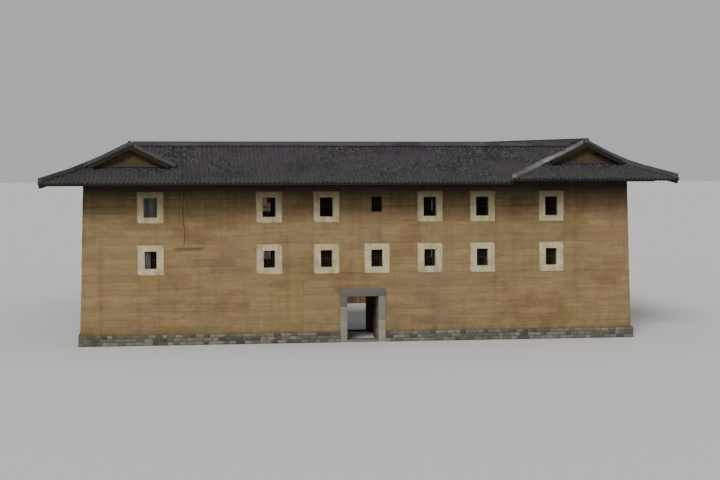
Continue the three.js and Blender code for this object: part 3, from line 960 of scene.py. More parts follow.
# which faces lie in the outer plane of a wing, and the middles of all
def facesOn(piece, name):
    count = len(piece.data.polygons)
    normals, centers = np.empty(count * 3), np.empty(count * 3)
    piece.data.polygons.foreach_get("normal", normals)
    piece.data.polygons.foreach_get("center", centers)
    centers = centers.reshape(-1, 3)
    facing = normals.reshape(-1, 3) @ np.array(directions(name)[1]) < -0.95
    return facing & (np.abs(depthsBehind(name, centers)) < 0.02), centers


# cuts the chosen faces alone, by planes given as point and normal
def cutChosen(piece, chosen, cuts):
    openFaces(piece, chosen)
    bpy.ops.mesh.hide(unselected=True)
    for point, normal in cuts:
        bpy.ops.mesh.select_all(action="SELECT")
        bpy.ops.mesh.bisect(plane_co=point, plane_no=normal)
    bpy.ops.mesh.reveal(select=False)
    bpy.ops.mesh.select_mode(type="VERT")
    closeMesh()


# cuts one outer face of a wall into lifts and columns
def cutFace(piece, name):
    chosen = facesOn(piece, name)[0]
    if not chosen.any():
        return
    along = directions(name)[0]
    corners = cornersOf(piece)
    corners = corners[np.abs(depthsBehind(name, corners)) < 0.02]
    spans = corners @ np.array(along)
    left, right, bottom, top = spans.min(), spans.max(), corners[:, 2].min(), corners[:, 2].max()
    cuts = []
    for i in range(math.ceil((top - house["footingTop"]) / wallWork["lift"])):
        for row in wallWork["rows"]:
            z = house["footingTop"] + i * wallWork["lift"] + row
            if bottom + 0.01 < z < top - 0.01:
                cuts.append(((0, 0, z), (0, 0, 1)))
    for i in range(math.ceil(left / wallWork["column"]), math.ceil(right / wallWork["column"])):
        cuts.append((along * i * wallWork["column"], along))
    for side in (-1, 1):                                      # two more at each corner, to round it
        for inset in (0.03, wallWork["cornerRadius"]):
            place = side * (wings[name]["half"] - inset)
            if left < place < right:
                tilt = along + Vector((0, 0, side * batterSlope))
                cuts.append((along * place + Vector((0, 0, house["footingTop"])), tilt.normalized()))
    cutChosen(piece, chosen, cuts)


# rounds the upright corners where two faces meet, and makes both uneven
def weatherWall(piece):
    corners = cornersOf(piece)
    radius = wallWork["cornerRadius"]
    behind = {name: depthsBehind(name, corners) for name in wings}
    moves = np.zeros_like(corners)
    for a in ("front", "back"):
        for b in ("left", "right"):
            near = (np.minimum(behind[a], behind[b]) < 0.003) & (behind[a] < radius) & (behind[b] < radius)
            offset = np.stack([behind[a][near] - radius, behind[b][near] - radius], axis=1)
            shrink = radius / np.linalg.norm(offset, axis=1) - 1
            for column, name in enumerate((a, b)):
                moves[near] += np.outer(offset[:, column] * shrink, directions(name)[1])
    for name in wings:
        along, inwards = (np.array(direction) for direction in directions(name))
        for i in np.nonzero(np.abs(behind[name]) < 0.003)[0]:
            moves[i] -= inwards * reliefAt(name, float(corners[i] @ along), float(corners[i][2]))
    moveCorners(piece, corners + moves)


def openCrack(piece):
    place, half = wallWork["crackPlace"], wallWork["crackHalf"]
    bottom, top = wallWork["crackFrom"], wallWork["crackTo"]
    chosen, centers = facesOn(piece, "front")
    chosen &= (np.abs(centers[:, 0] - place) < wallWork["column"])
    chosen &= (centers[:, 2] > bottom) & (centers[:, 2] < top)
    cutChosen(piece, chosen, [((place + shift, 0, 0), (1, 0, 0)) for shift in (-half, 0, half)])
    corners = cornersOf(piece)
    aside, z = np.abs(corners[:, 0] - place), corners[:, 2]
    span = (z > bottom) & (z < top) & (np.abs(depthsBehind("front", corners)) < 0.003)
    middle, line = span & (aside < 0.002), span & (aside < half + 0.002)
    corners[line, 0] += 0.05 * np.sin(z[line] * 2.3) + 0.018 * np.sin(z[line] * 11)      # never quite upright
    corners[middle, 1] += wallWork["crackDepth"]
    moveCorners(piece, corners)
    # tone 0 down the middle of the crack, which the earth material paints dark: painted shade inside the
    # crack
    paintTone(piece, np.where(middle, 0, 0.5))


# darker marks on the front: middle and half size in x and z, and tone
def stainWall(piece):
    corners = cornersOf(piece)
    tones = np.empty(len(corners), np.float32)
    piece.data.attributes["tone"].data.foreach_get("value", tones)
    onFace = np.abs(depthsBehind("front", corners)) < 0.003
    for x, z, halfX, halfZ, tone in wallWork["stains"]:
        near = ((corners[:, 0] - x) / halfX) ** 2 + ((corners[:, 2] - z) / halfZ) ** 2 < 1
        tones = np.where(onFace & near, np.minimum(tones, tone), tones)
    paintTone(piece, tones)


def makeWalls():
    earth = makeRammedEarth()
    for node in [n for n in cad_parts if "_wall" in n and "room" not in n]:
        wall = copyOf(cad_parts[node])
        bpy.ops.mesh.customdata_custom_splitnormals_clear()
        editMesh(wall, bpy.ops.mesh.remove_doubles, threshold=0.0001)
        editMesh(wall, bpy.ops.mesh.dissolve_limited, angle_limit=0.005)
        if "gable" in node:
            editMesh(wall, bpy.ops.mesh.quads_convert_to_tris)
            editMesh(wall, bpy.ops.mesh.subdivide, number_cuts=5)
            roughen(wall, 0.012, 1.3)
            paintTone(wall, 0.5)
        else:
            for name in wings:
                cutFace(wall, name)
            paintTone(wall, 0.5)
            if node == "front_wall_left":
                openCrack(wall)
            if node.startswith("front_wall"):
                stainWall(wall)
            weatherWall(wall)
        finishPiece(node + "_earth", [wall], earth, "rammed_earth", node, smooth=0.5)


makeWalls()
print("walls rammed")

# Windows: a lime surround round each opening, and a barred frame deep in the reveal

windowWork = {
    "front": (-11.9, -5.3, -2.06, 0.82, 3.88, 6.94, 11.0),
    "sides": (-9.4, -4.7, 0, 4.7, 9.4),
    "smallPlace": 0.82,
    "upper": {"width": 0.76, "height": 1.12, "low": 7.11, "band": (0.36, 0.32)},
    "middle": {"width": 0.68, "height": 1.0, "low": 4.25, "band": (0.4, 0.36)},
    "small": {"width": 0.6, "height": 0.86, "low": 7.38},
    "shutters": (("upper", -0.48, 0.48), ("middle", -0.48, 0)),      # from and to, in widths of the window
    "proud": 0.024,
    "lining": 0.014,
    "reveal": 0.3,
    "frame": 0.055,
    "frameThick": 0.08,
    "bar": 0.032,
    "bars": 5,
    "seed": 7,
}


# lime plaster round the windows: cream, trowelled thin, worn back to earth at its edges, streaked by rain,
# and darkened by painted eave shade towards the top of the upper row
def makeWindowLime():
    material, add = newMaterial("windowLime", 0.9)
    spot, tone = add("spot"), add("attribute", attribute_name="tone")
    clouds = add("noise", spot, 1.9, 5, 0.55)
    color = add("ramp", clouds, stops=((0.3, "#a2926f"), (0.52, "#bfb08d"), (0.72, "#cbbf9f")))
    runs = add("noise", add("mapping", spot, (7, 7, 0.6)), 1, 5, 0.6)
    color = tinted(add, color, "#85765a", runs, (0.48, 0), (0.72, 0.6))
    # painted shadow of the eave: darker from 7.7 m up, over the upper surrounds
    nearEave = add("range", add("split", spot), 7.7, 8.7)
    color = tinted(add, color, "#4c4438", add("multiply", nearEave, 0.9))
    trowel = add("noise", spot, 13, 6, 0.65)
    worn = add("subtract", add("add", tone, trowel), 0.5, use_clamp=True)
    color = tinted(add, color, "#8a7048", worn, (0.1, 0.9), (0.35, 0))
    return finishMaterial(material, color, trowel, 0.014, 0.7)


# a rectangular ring round an opening of this width and height
def throughRing(name, width, height, bandX, bandZ, front, rear):
    w, h = width / 2, height / 2
    ring = addBlock(name, (-w - bandX, front, -h - bandZ), (w + bandX, rear, h + bandZ))
    scoreAt(ring, 0, (-w, w))
    scoreAt(ring, 2, (-h, h))
    inside = [abs(face.center.x) < w - 0.001 and abs(face.center.z) < h - 0.001 and abs(face.normal.y) > 0.9
              for face in ring.data.polygons]
    openFaces(ring, inside)
    bpy.ops.mesh.bridge_edge_loops()
    bpy.ops.mesh.select_mode(type="VERT")
    closeMesh()
    return ring


def makeSurround(size):
    thin = windowWork["lining"]
    width, height = size["width"] - 2 * thin, size["height"] - 2 * thin
    bandX, bandZ = size["band"][0] + thin, size["band"][1] + thin
    plate = throughRing("surround", width, height, bandX, bandZ, -windowWork["proud"], 0.05)
    reachX, reachZ = width / 2 + bandX, height / 2 + bandZ
    for axis, far in ((0, reachX), (2, reachZ)):
        scoreAt(plate, axis, np.arange(-far + 0.15, far - 0.1, 0.2))
    softenEdges(plate, 0.012, angle=1.2)
    corners = np.abs(cornersOf(plate))
    toEdge = np.minimum(reachX - corners[:, 0], reachZ - corners[:, 2])
    paintTone(plate, np.clip(toEdge / 0.1, 0, 1))
    lining = throughRing("lining", width, height, thin * 1.6, thin * 1.6, -0.004, windowWork["reveal"])
    return joinAs("surround", [plate, paintTone(lining, 1)])


def makeWindowFrame(size):
    inner, thick, half = windowWork["frame"], windowWork["frameThick"], windowWork["bar"] / 2
    rear = windowWork["reveal"] - thick
    width, height = size["width"] - 2 * inner, size["height"] - 2 * inner
    ring = throughRing("windowFrame", width, height, inner - 0.001, inner - 0.001, rear, rear + thick)
    parts = [paintTone(softenEdges(ring, 0.006), 0.6)]
    w, h = width / 2 + 0.005, height / 2 + 0.005
    for i in range(windowWork["bars"]):
        x = (i + 1) * width / (windowWork["bars"] + 1) - width / 2
        low, high = (x - half, rear + 0.02, -h), (x + half, rear + 0.055, h)
        parts.append(addBlock("bar", low, high, 0.005, 0.4 + 0.1 * i))
    parts.append(addBlock("rail", (-w, rear + 0.014, -0.025), (w, rear + 0.06, 0.025), tone=0.5))
    return joinAs("windowFrame", parts)


def makeShutter(size, start, end):
    left, right, half = size["width"] * start, size["width"] * end, size["height"] / 2 - 0.02
    parts = [plankRow("shutter", left, right, -half, half, 0.13, 0.03, 0.15, windowWork["seed"])]
    for z in (-0.32 * size["height"], 0.3 * size["height"]):
        low, high = (left + 0.02, 0.11, z - 0.03), (right - 0.02, 0.131, z + 0.03)
        parts.append(addBlock("batten", low, high, 0.004, 0.3))
    return joinAs("shutter", parts)


# from the plane of the wall to its leaning, uneven face
def setInWall(piece, name, u, z):
    corners = cornersOf(piece) + (u, 0, z)
    relief = np.array([reliefAt(name, float(c[0]), float(c[2])) for c in corners])
    corners[:, 1] += wallFace(name, corners[:, 2]) - np.where(corners[:, 1] < 0.06, relief, 0)
    return moveCorners(piece, corners)


# place and kind of each window of a wing; in front one of the upper row is small
def windowsOf(name):
    places = windowWork["front" if wings[name]["long"] else "sides"]
    small = windowWork["smallPlace"] if name == "front" else None
    return [(u, "small" if u == small else "upper") for u in places] + [(u, "middle") for u in places]


def makeWindows():
    lime = makeWindowLime()
    sizes = {kind: windowWork[kind] for kind in ("upper", "middle", "small")}
    middles = {kind: size["low"] + size["height"] / 2 for kind, size in sizes.items()}
    surrounds = {kind: makeSurround(sizes[kind]) for kind in ("upper", "middle")}
    frames = {kind: makeWindowFrame(size) for kind, size in sizes.items()}
    for name in wings:
        limeWork, woodWork = [], []
        for i, (u, kind) in enumerate(windowsOf(name)):
            if kind in surrounds:
                ring = roughen(copyOf(surrounds[kind]), 0.012, 2.2, 10 * i + wings[name]["turns"])
                limeWork.append(setInWall(ring, name, u, middles[kind]))
            woodWork.append(setInWall(copyOf(frames[kind]), name, u, middles[kind]))
        nodes = [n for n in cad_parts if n.startswith(f"{name}_wall")]
        finishPiece(f"{name}_window_surrounds", limeWork, lime, "ridge_lime", *nodes, wing=name, smooth=0.5)
        finishPiece(f"{name}_window_frames", woodWork, windowFir, "timber", *nodes, wing=name)
    place = windowWork["front"][0]
    shutters = [setInWall(makeShutter(sizes[kind], start, end), "front", place, middles[kind])
                for kind, start, end in windowWork["shutters"]]
    finishPiece("front_shutters", shutters, greyFir, "timber", "front_wall_left")
    for piece in (*surrounds.values(), *frames.values()):
        bpy.data.objects.remove(piece)


makeWindows()
print("windows set")

# Footing: rough stones in three courses, bedded in clay mortar

footingWork = {
    "courses": 3,
    "course": 0.2,
    "width": (0.24, 0.52),
    "depth": 0.17,
    "proud": 0.022,
    "tall": 0.14,               # how many stones of the lowest course reach up through two
    "gateHalf": 1.3,
    "seed": 3,
}


def stonesAlong(name, dice):
    wing, course, gate = wings[name], footingWork["course"], footingWork["gateHalf"]
    front = -wing["across"] - house["footingLedge"] - footingWork["proud"]
    end = wing["half"] + house["footingLedge"] + (footingWork["proud"] if wing["long"] else -0.13)
    places, sizes, taken = [], [], []
    for row in range(footingWork["courses"]):
        u = -end
        while u < end - 0.1:
            width = min(dice.uniform(*footingWork["width"]), end - u)
            if end - u - width < 0.15:
                width = end - u
            clear = row != 1 or all(u + width < a or u > b for a, b in taken)
            if name == "front" and u + width > -gate and u < gate - 0.01:
                if u >= -gate - 0.1:
                    u = gate
                    continue
                width = -gate - u - 0.001
            if clear and width > 0.08:
                tall = row == 0 and dice.random() < footingWork["tall"]
                height = course * (2 if tall else 1)
                if tall:
                    taken.append((u, u + width))
                depth = footingWork["depth"] + dice.uniform(-0.01, 0.008)
                v = front + footingWork["depth"] - depth / 2
                places.append((u + width / 2, v, row * course + height / 2))
                sizes.append((width - 0.012, depth, height - 0.01))
            u += width
    return places, sizes


def makeFooting():
    dice = np.random.default_rng(footingWork["seed"])
    for name in wings:
        stone = addBlock("stone", (-0.5, -0.5, -0.5), (0.5, 0.5, 0.5), 0.13)
        places, sizes = stonesAlong(name, dice)
        turns = dice.uniform(-0.02, 0.02, len(places))
        scatter(stone, places, sizes, turns, dice.uniform(0, 1, len(places)))
        roughen(stone, 0.02, 4.5)
        corners = cornersOf(stone)
        corners[:, 2] = np.clip(corners[:, 2], 0.002, house["footingTop"] + 0.004)
        moveCorners(stone, corners)
        finishPiece(f"{name}_footing_stones", [stone], rubble, "footing_stone", wing=name, smooth=0.9)
    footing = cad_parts["footing"]
    footing.data.materials.clear()
    footing.data.materials.append(mortarBed)


makeFooting()
print("footing laid")

# Gate: jambs, lintel and threshold of dressed granite, and two plank leaves standing open

gateWork = {
    "courses": (0, 0.7, 1.24, 2.02, 2.6),
    "split": (0.5, 0.74, 0.44, 0.68),       # how deep the front stone of each course is
    "lintelDeep": 0.6,
    "sillDeep": 0.45,
    "planks": 4,
    "ledges": (0.4, 1.3, 2.2),
    "plankThick": 0.05,
    "stud": 0.014,
    "ring": (0.055, 0.008),
    "ringHigh": 1.15,
    "seed": 5,
}


# forged iron of studs and rings: dark and dull, with rust in spots
def makeIron():
    material, add = newMaterial("forgedIron", 0.6)
    rust = add("noise", add("spot"), 30, 4, 0.55)
    color = add("ramp", rust, stops=((0.35, "#1f1c1a"), (0.7, "#43291b")))
    material.node_tree.nodes["Principled BSDF"].inputs["Metallic"].default_value = 0.6
    return finishMaterial(material, color)


def makeGateFrame():
    low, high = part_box("gate_frame")
    opening = -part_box("gate_leaf_left")[1].x
    front, rear, courses = low.y, high.y, gateWork["courses"]
    lintelEnd, sillEnd, top = front + gateWork["lintelDeep"], front + gateWork["sillDeep"], courses[-1]
    parts = []
    for side in (-1, 1):
        near, far = sorted((side * opening, side * high.x))
        for bottom, head, split in zip(courses, courses[1:], gateWork["split"]):
            for start, end in ((front, front + split), (front + split, rear)):
                parts.append(addBlock("jamb", (near, start, bottom), (far, end, head)))
    parts.append(addBlock("lintel", (low.x, front - 0.01, top), (high.x, lintelEnd, high.z)))
    parts.append(addBlock("lintelBack", (low.x, lintelEnd, top), (high.x, rear, high.z)))
    parts.append(addBlock("threshold", (-opening, front - 0.005, 0), (opening, sillEnd, 0.12)))
    parts.append(addBlock("sill", (-opening, sillEnd, 0), (opening, rear, 0.09)))
    dice = random.Random(gateWork["seed"])
    for part in parts:
        paintTone(softenEdges(part, 0.014, segments=2), dice.random())
    stones = roughen(joinAs("gate_stones", parts), 0.004, 3)
    corners = cornersOf(stones)
    corners[:, 2] = np.maximum(corners[:, 2], 0)
    moveCorners(stones, corners)
    finishPiece("gate_stones", [stones], granite, "gate_stone", "gate_frame", smooth=0.5)


# planks towards the passage, ledges behind them, studs through both and a ring to pull
def makeLeaf(side, iron):
    node = "gate_leaf_left" if side < 0 else "gate_leaf_right"
    low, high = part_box(node)
    inner, outer = (high.x, low.x) if side < 0 else (low.x, high.x)
    step, middle = (high.y - low.y) / gateWork["planks"], inner + side * gateWork["plankThick"]
    parts, studs = [], []
    for i in range(gateWork["planks"]):
        y = low.y + i * step
        near, far = sorted((inner + side * 0.002 * (i % 2), middle))
        plankLow, plankHigh = (near, y + 0.0015, low.z), (far, y + step - 0.0015, high.z)
        parts.append(addBlock("plank", plankLow, plankHigh, 0.005, 0.25 + 0.17 * i))
    near, far = sorted((middle, outer))
    for z in gateWork["ledges"]:
        ledgeLow, ledgeHigh = (near, low.y + 0.03, z - 0.06), (far, high.y - 0.03, z + 0.06)
        parts.append(addBlock("ledge", ledgeLow, ledgeHigh, 0.008, 0.6))
        studs += [(inner, low.y + (i + 0.5) * step / 2, z) for i in range(2 * gateWork["planks"])]
    finishPiece(node + "_boards", parts, leafFir, "timber", node)
    pick()
    bpy.ops.mesh.primitive_uv_sphere_add(segments=8, ring_count=6, radius=gateWork["stud"])
    stud = scatter(bpy.context.object, studs)
    pick()
    place, (major, minor) = (inner - side * 0.02, high.y - 0.1, gateWork["ringHigh"]), gateWork["ring"]
    bpy.ops.mesh.primitive_torus_add(major_radius=major, minor_radius=minor, major_segments=20,
                                     minor_segments=6, location=place, rotation=(0, math.pi / 2, 0))
    ring = settle(bpy.context.object)
    finishPiece(node + "_iron", [stud, ring], iron, "timber", node, smooth=0.9)


makeGateFrame()
forgedIron = makeIron()
makeLeaf(-1, forgedIron)
makeLeaf(1, forgedIron)
print("gate hung")

# Ridges, verges and hips: a bed of mortar with half-round cap tiles laid along it

ridgeWork = {
    "bedWidth": 0.28,
    "bedHeight": 0.1,
    "wobble": 0.012,
    "capLength": 0.24,
    "capEvery": 0.19,
    "capRadius": 0.1,
    "capThick": 0.014,
    "sink": 0.09,               # how deep the bed goes into the hollows of the tiles
    "verges": (2.25, 4.72),     # from and to, in plan from the eave
    "overValley": 2.33,         # where a verge starts whose foot stands by a valley
    "hips": (0.08, 2.36),
    "valleys": (0.02, 4.7),
    "upperValleys": (2.42, 4.7),
    "valleySink": 0.055,
    "stepBoard": (-0.178, -0.045),      # its lower and upper edge, from the crown of the tiles
    "gableFoot": (1.85, 2.9),           # d of the lower and upper face of the lumps under the verges
    "seed": 40,
    "valleySeed": 60,
}


# a half-round tile lying along x, wider at its lower end
def makeCapTile():
    pick()
    length = ridgeWork["capLength"]
    bpy.ops.mesh.primitive_cylinder_add(vertices=12, radius=ridgeWork["capRadius"], depth=length,
                                        end_fill_type="NOTHING", rotation=(0, math.pi / 2, 0))
    cap = settle(bpy.context.object)
    corners = cornersOf(cap)
    corners[:, 0] += length / 2
    corners[corners[:, 0] < 0.001, 1:] *= 1.15
    corners[:, 2] *= 0.85
    moveCorners(cap, corners)
    cutOff(cap, (0, 0, -0.001), (0, 0, -1), fill=False)
    return modify(cap, "SOLIDIFY", thickness=ridgeWork["capThick"], offset=-1)


def layRidge(points, seed):
    length, half, top = reachedAlong(points)[-1], ridgeWork["bedWidth"] / 2, ridgeWork["bedHeight"]
    low, high, uneven = (0, -half, -ridgeWork["sink"]), (length, half, top), (ridgeWork["wobble"], 2.6, seed)
    bed = addMortar("bed", low, high, np.arange(0.35, length - 0.1, 0.35), uneven, 0.75)
    cap = makeCapTile()
    size = len(cap.data.vertices)
    count = max(2, round((length - ridgeWork["capLength"]) / ridgeWork["capEvery"]) + 1)
    step = (length - ridgeWork["capLength"]) / (count - 1)
    dice = np.random.default_rng(seed)
    places = [(i * step, dice.uniform(-0.006, 0.006), top - 0.01) for i in range(count)]
    scatter(cap, places, turns=dice.uniform(-0.03, 0.03, count), tones=dice.uniform(0.1, 0.6, count))
    corners = cornersOf(cap)
    tip = (corners[:, 0] - np.arange(len(corners)) // size * step) / ridgeWork["capLength"]
    corners[:, 2] += np.where(tip < 0.5, 0.014, -0.002)       # each tile's lower end lies over the one below
    moveCorners(cap, corners)
    plugs = []
    for start, wide in ((0.02, 1.06), (length - 0.06, 0.93)):
        plug = addLog("plug", (start, 0, top), (start + 0.04, 0, top), ridgeWork["capRadius"] * wide, 0.9)
        corners = cornersOf(plug)
        corners[:, 2] = top + (corners[:, 2] - top) * 0.8
        plugs.append(moveCorners(plug, corners))
    return followLine(joinAs("ridge", [bed, cap, *plugs]), points)


# along a wing's ridge and up its verges and hips; the lines beside the step in the roof are of paler mortar
def layRidges():
    crown, seed, groups = roofTop(reach) + 0.02, ridgeWork["seed"], {}
    for name in ("left", "right"):
        wing, raised = wings[name], name == "right"
        lift, half, end = wing["lift"], wing["verge"], wing["eaveEnd"]
        lines = [[(-half, wing["ridge"], crown + lift), (half, wing["ridge"], crown + lift)]]
        for side in (-1, 1):
            for inner in (False, True):
                foot, head = ridgeWork["verges"]
                foot = ridgeWork["overValley"] if inner and not raised else foot
                lines.append(risingLine(wing, inner, side, end - gable, 0, foot, head))
                if raised or not inner:
                    lines.append(risingLine(wing, inner, side, end, -1, *ridgeWork["hips"]))
        for points in lines:
            seed += 1
            beside = raised and len(points) > 2 and points[-1][1] > wing["ridge"] + 0.01
            groups.setdefault("step" if beside else name, []).append(layRidge(points, seed))
    for name in ("front", "back"):
        seed += 1
        half = wings[name]["eaveEnd"] - reach - 0.16
        groups[name] = [layRidge([(u, wings[name]["ridge"], crown) for u in (-half, half)], seed)]
    step = groups.pop("step")
    finishPiece("step_ridge_tiles", step, stepLime, "ridge_lime", "right_ridge", wing="right", smooth=0.7)
    for name, parts in groups.items():
        title, node = f"{name}_ridge_tiles", f"{name}_ridge"
        finishPiece(title, parts, ridgeLime, "ridge_lime", node, wing=name, smooth=0.7)


# hollow tiles along the valleys, where two slopes of one height meet
def layValleys():
    left, parts, lines, sink = wings["left"], [], [], ridgeWork["valleySink"]
    for side in (-1, 1):
        for start, outwards, limits in (("courtEnd", 1, "valleys"), ("eaveEnd", -1, "upperValleys")):
            low, high = ridgeWork[limits]
            lines.append(risingLine(left, True, side, left[start], outwards, low, high, sink))
    for i, points in enumerate(lines):
        cap = makeCapTile()
        moveCorners(cap, cornersOf(cap) * (1, 1.7, -0.8))
        editMesh(cap, bpy.ops.mesh.flip_normals)
        count = int((reachedAlong(points)[-1] - ridgeWork["capLength"]) / ridgeWork["capEvery"])
        places = [(k * ridgeWork["capEvery"], 0, 0.03) for k in range(count)]
        scatter(cap, places, tones=np.random.default_rng(ridgeWork["valleySeed"] + i).uniform(0, 0.6, count))
        parts.append(followLine(cap, points))
    nodes = ("left_inner_slope", "left_roof")
    finishPiece("valley_tiles", parts, roofTile, "roof_tile", *nodes, wing="left", smooth=0.7)


# boards that close the step up to the raised wing
def closeSteps():
    right, boards = wings["right"], []
    bottom, top = ridgeWork["stepBoard"]
    for side in (-1, 1):
        for start, outwards in (("courtEnd", 1), ("eaveEnd", -1)):
            points = risingLine(right, True, side, right[start], outwards, 0, reach)
            boards.append(addStrip("stepBoard", points, (-0.012, bottom), (0.012, top), 0, 0.5))
    finishPiece("step_boards", boards, eaveFir, "timber", "right_roof", "right_inner_slope", wing="right")


# mortar along the feet of the gable walls, and in lumps under the feet of the verges
def layFillets():
    fillets = []
    for name, mirror in (("front", 1), ("back", -1)):
        wing = wings[name]
        near, far = wing["courtEnd"] + gable + 0.3, wing["eaveEnd"] - gable - 0.3
        length, v = far - near, wing["outerEave"] + gable - 0.05
        for side, lift in ((-mirror, 0), (mirror, house["lift"])):
            low, high = (0, -0.07, -0.07), (length, 0.07, 0.05)
            fillet = addMortar("fillet", low, high, np.arange(0.2, length, 0.2), (0.02, 3.3, side), 0.25)
            line = [(side * u, v, roofTop(gable, lift)) for u in (near, far)]
            fillets.append(turnToWing(followLine(fillet, line), name))
    for name in ("left", "right"):
        wing, lift = wings[name], wings[name]["lift"]
        foot, head = ridgeWork["gableFoot"]
        bottom, top = roofTop(foot, lift) - 0.1, roofTop(head, lift) - 0.1
        for side in (-1, 1):
            near, far = sorted((side * (wing["eaveEnd"] - gable - 0.12), side * (wing["verge"] - 0.09)))
            cuts = np.linspace(near, far, 6)[1:-1]
            for v in (wing["outerEave"] + head, wing["innerEave"] - head):
                low, high = (near, v - 0.05, bottom), (far, v + 0.05, top)
                lump = addMortar("footMortar", low, high, cuts, (0.02, 4.1, side), 0.05)
                fillets.append(turnToWing(lump, name))
    finishPiece("gable_fillets", fillets, ridgeLime, "ridge_lime", "left_ridge", "right_ridge", smooth=0.8)


layRidges()
layValleys()
closeSteps()
layFillets()
print("ridges laid")

# Galleries round the court: posts on stone bases, beams, joists and boards, and planked rails

galleryWork = {
    "baseHigh": 0.14,
    "baseWide": 0.3,
    "railHigh": 0.95,
    "beam": 0.2,
    "deck": 0.15,
    "boardThick": 0.035,
    "board": 0.2,
    "gap": 0.006,
    "joistWide": 0.08,
    "joistDrop": 0.001,         # boards to joists
    "joistEvery": 0.55,
    "joistInset": 0.06,
    "plank": 0.16,
    "seed": 70,
}


# boards laid side by side from near to far, on joists; their length is twice the end
def layDeck(work, end, near, far, joistFar, top, under, dice):
    half, thick, inset = work["joistWide"] / 2, work["boardThick"], work["joistInset"]
    boards, joists = round((far - near) / work["board"]), int(2 * end / work["joistEvery"])
    step = (far - near) / boards
    board = addBlock("board", (-end, near, top - thick), (end, near + step - work["gap"], top))
    spread(board, step * np.arange(boards), dice.uniform(0, 1, boards), 1)
    joist = addBlock("joist", (-half, near, under), (half, joistFar, top - thick - work["joistDrop"]))
    spread(joist, np.linspace(-end + inset, end - inset, joists), dice.uniform(0, 1, joists))
    return [board, joist]


def makeGallery(name):
    wing, work = wings[name], galleryWork
    front, size, beamEnd, deckEnd = wing["postFace"], house["postSize"], wing["beamEnd"], wing["deckEnd"]
    posts, roomFace, middle = wing["posts"], wing["roomFace"], front - size / 2
    plateTop = float(roofUnder(house["postFace"], wing["lift"]))
    dice = np.random.default_rng(work["seed"] + wing["turns"])
    parts = []
    low, high = (-size / 2, front - size, work["baseHigh"]), (size / 2, front, plateTop - 0.01)
    post = addBlock("post", low, high, 0.03)
    parts.append(spread(post, posts, dice.uniform(0.2, 0.9, len(posts))))
    for i, top in enumerate((*house["floors"], plateTop)):
        underDeck = top - work["deck"] if i < 2 else plateTop
        low = (-beamEnd, front - size + 0.02, underDeck - work["beam"])
        high = (beamEnd, front - 0.02, underDeck)
        parts.append(addBlock("beam", low, high, 0.012, dice.uniform(0.2, 0.9)))
        if i == 2:
            continue
        parts += layDeck(work, deckEnd, roomFace, front, front - 0.03, top, underDeck, dice)
        spans = [(a + size / 2, b - size / 2) for a, b in zip(posts, posts[1:])]
        if posts[0] > -beamEnd + size:
            spans += [(-beamEnd, posts[0] - size / 2), (posts[-1] + size / 2, beamEnd)]
        rail = top + work["railHigh"]
        for k, (start, end) in enumerate(spans):
            parts.append(plankRow("railPlanks", start, end, top + 0.07, rail - 0.06, middle - 0.012, 0.024,
                                  work["plank"], k + 10 * i + work["seed"]))
            low, high = (start - 0.01, middle - 0.035, top + 0.03), (end + 0.01, middle + 0.035, top + 0.1)
            parts.append(addBlock("footRail", low, high, 0.006, dice.uniform(0.2, 0.9)))
        low, high = (-beamEnd, middle - 0.05, rail - 0.065), (beamEnd, middle + 0.05, rail)
        parts.append(addBlock("handRail", low, high, 0.01, dice.uniform(0.2, 0.9)))
    nodes = [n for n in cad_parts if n.startswith(f"{name}_gallery")]
    finishPiece(f"{name}_gallery_timber", parts, galleryFir, "timber", *nodes, wing=name)
    half = work["baseWide"] / 2
    base = addBlock("base", (-half, middle - half, 0), (half, middle + half, work["baseHigh"]))
    softenEdges(base, 0.035, segments=2)
    spread(base, posts, dice.uniform(0, 1, len(posts)))
    node = f"{name}_gallery_ground"
    finishPiece(f"{name}_post_bases", [base], granite, "footing_stone", node, wing=name, smooth=0.5)


# Plank walls of the rooms, with framed doorways and doors swung open into the rooms

roomWork = {
    "plank": 0.22,
    "frame": 0.09,
    "doorWidth": 0.9,
    "doorHigh": 1.95,
    "sill": 0.1,
    "rail": 0.12,
    "beam": 0.15,               # room for the floor's beams over each plank wall
    "passage": (-0.9, 0.9, 0.1, 2.7),
    "swing": (92, 115),
    "ledges": (0.3, 1.0, 1.65),
    "seed": 90,
}


# hung on the left jamb, at the origin, and closed
def makeDoor():
    width, height, plank = roomWork["doorWidth"] - 0.02, roomWork["doorHigh"] - 0.02, roomWork["plank"]
    parts = [plankRow("door", 0, width, 0, height, -0.03, 0.03, plank, roomWork["seed"], slip=0.001)]
    for z in roomWork["ledges"]:
        low, high = (0.03, -0.055, z - 0.05), (width - 0.03, -0.029, z + 0.05)
        parts.append(addBlock("ledge", low, high, 0.006, 0.4))
    return joinAs("door", parts)


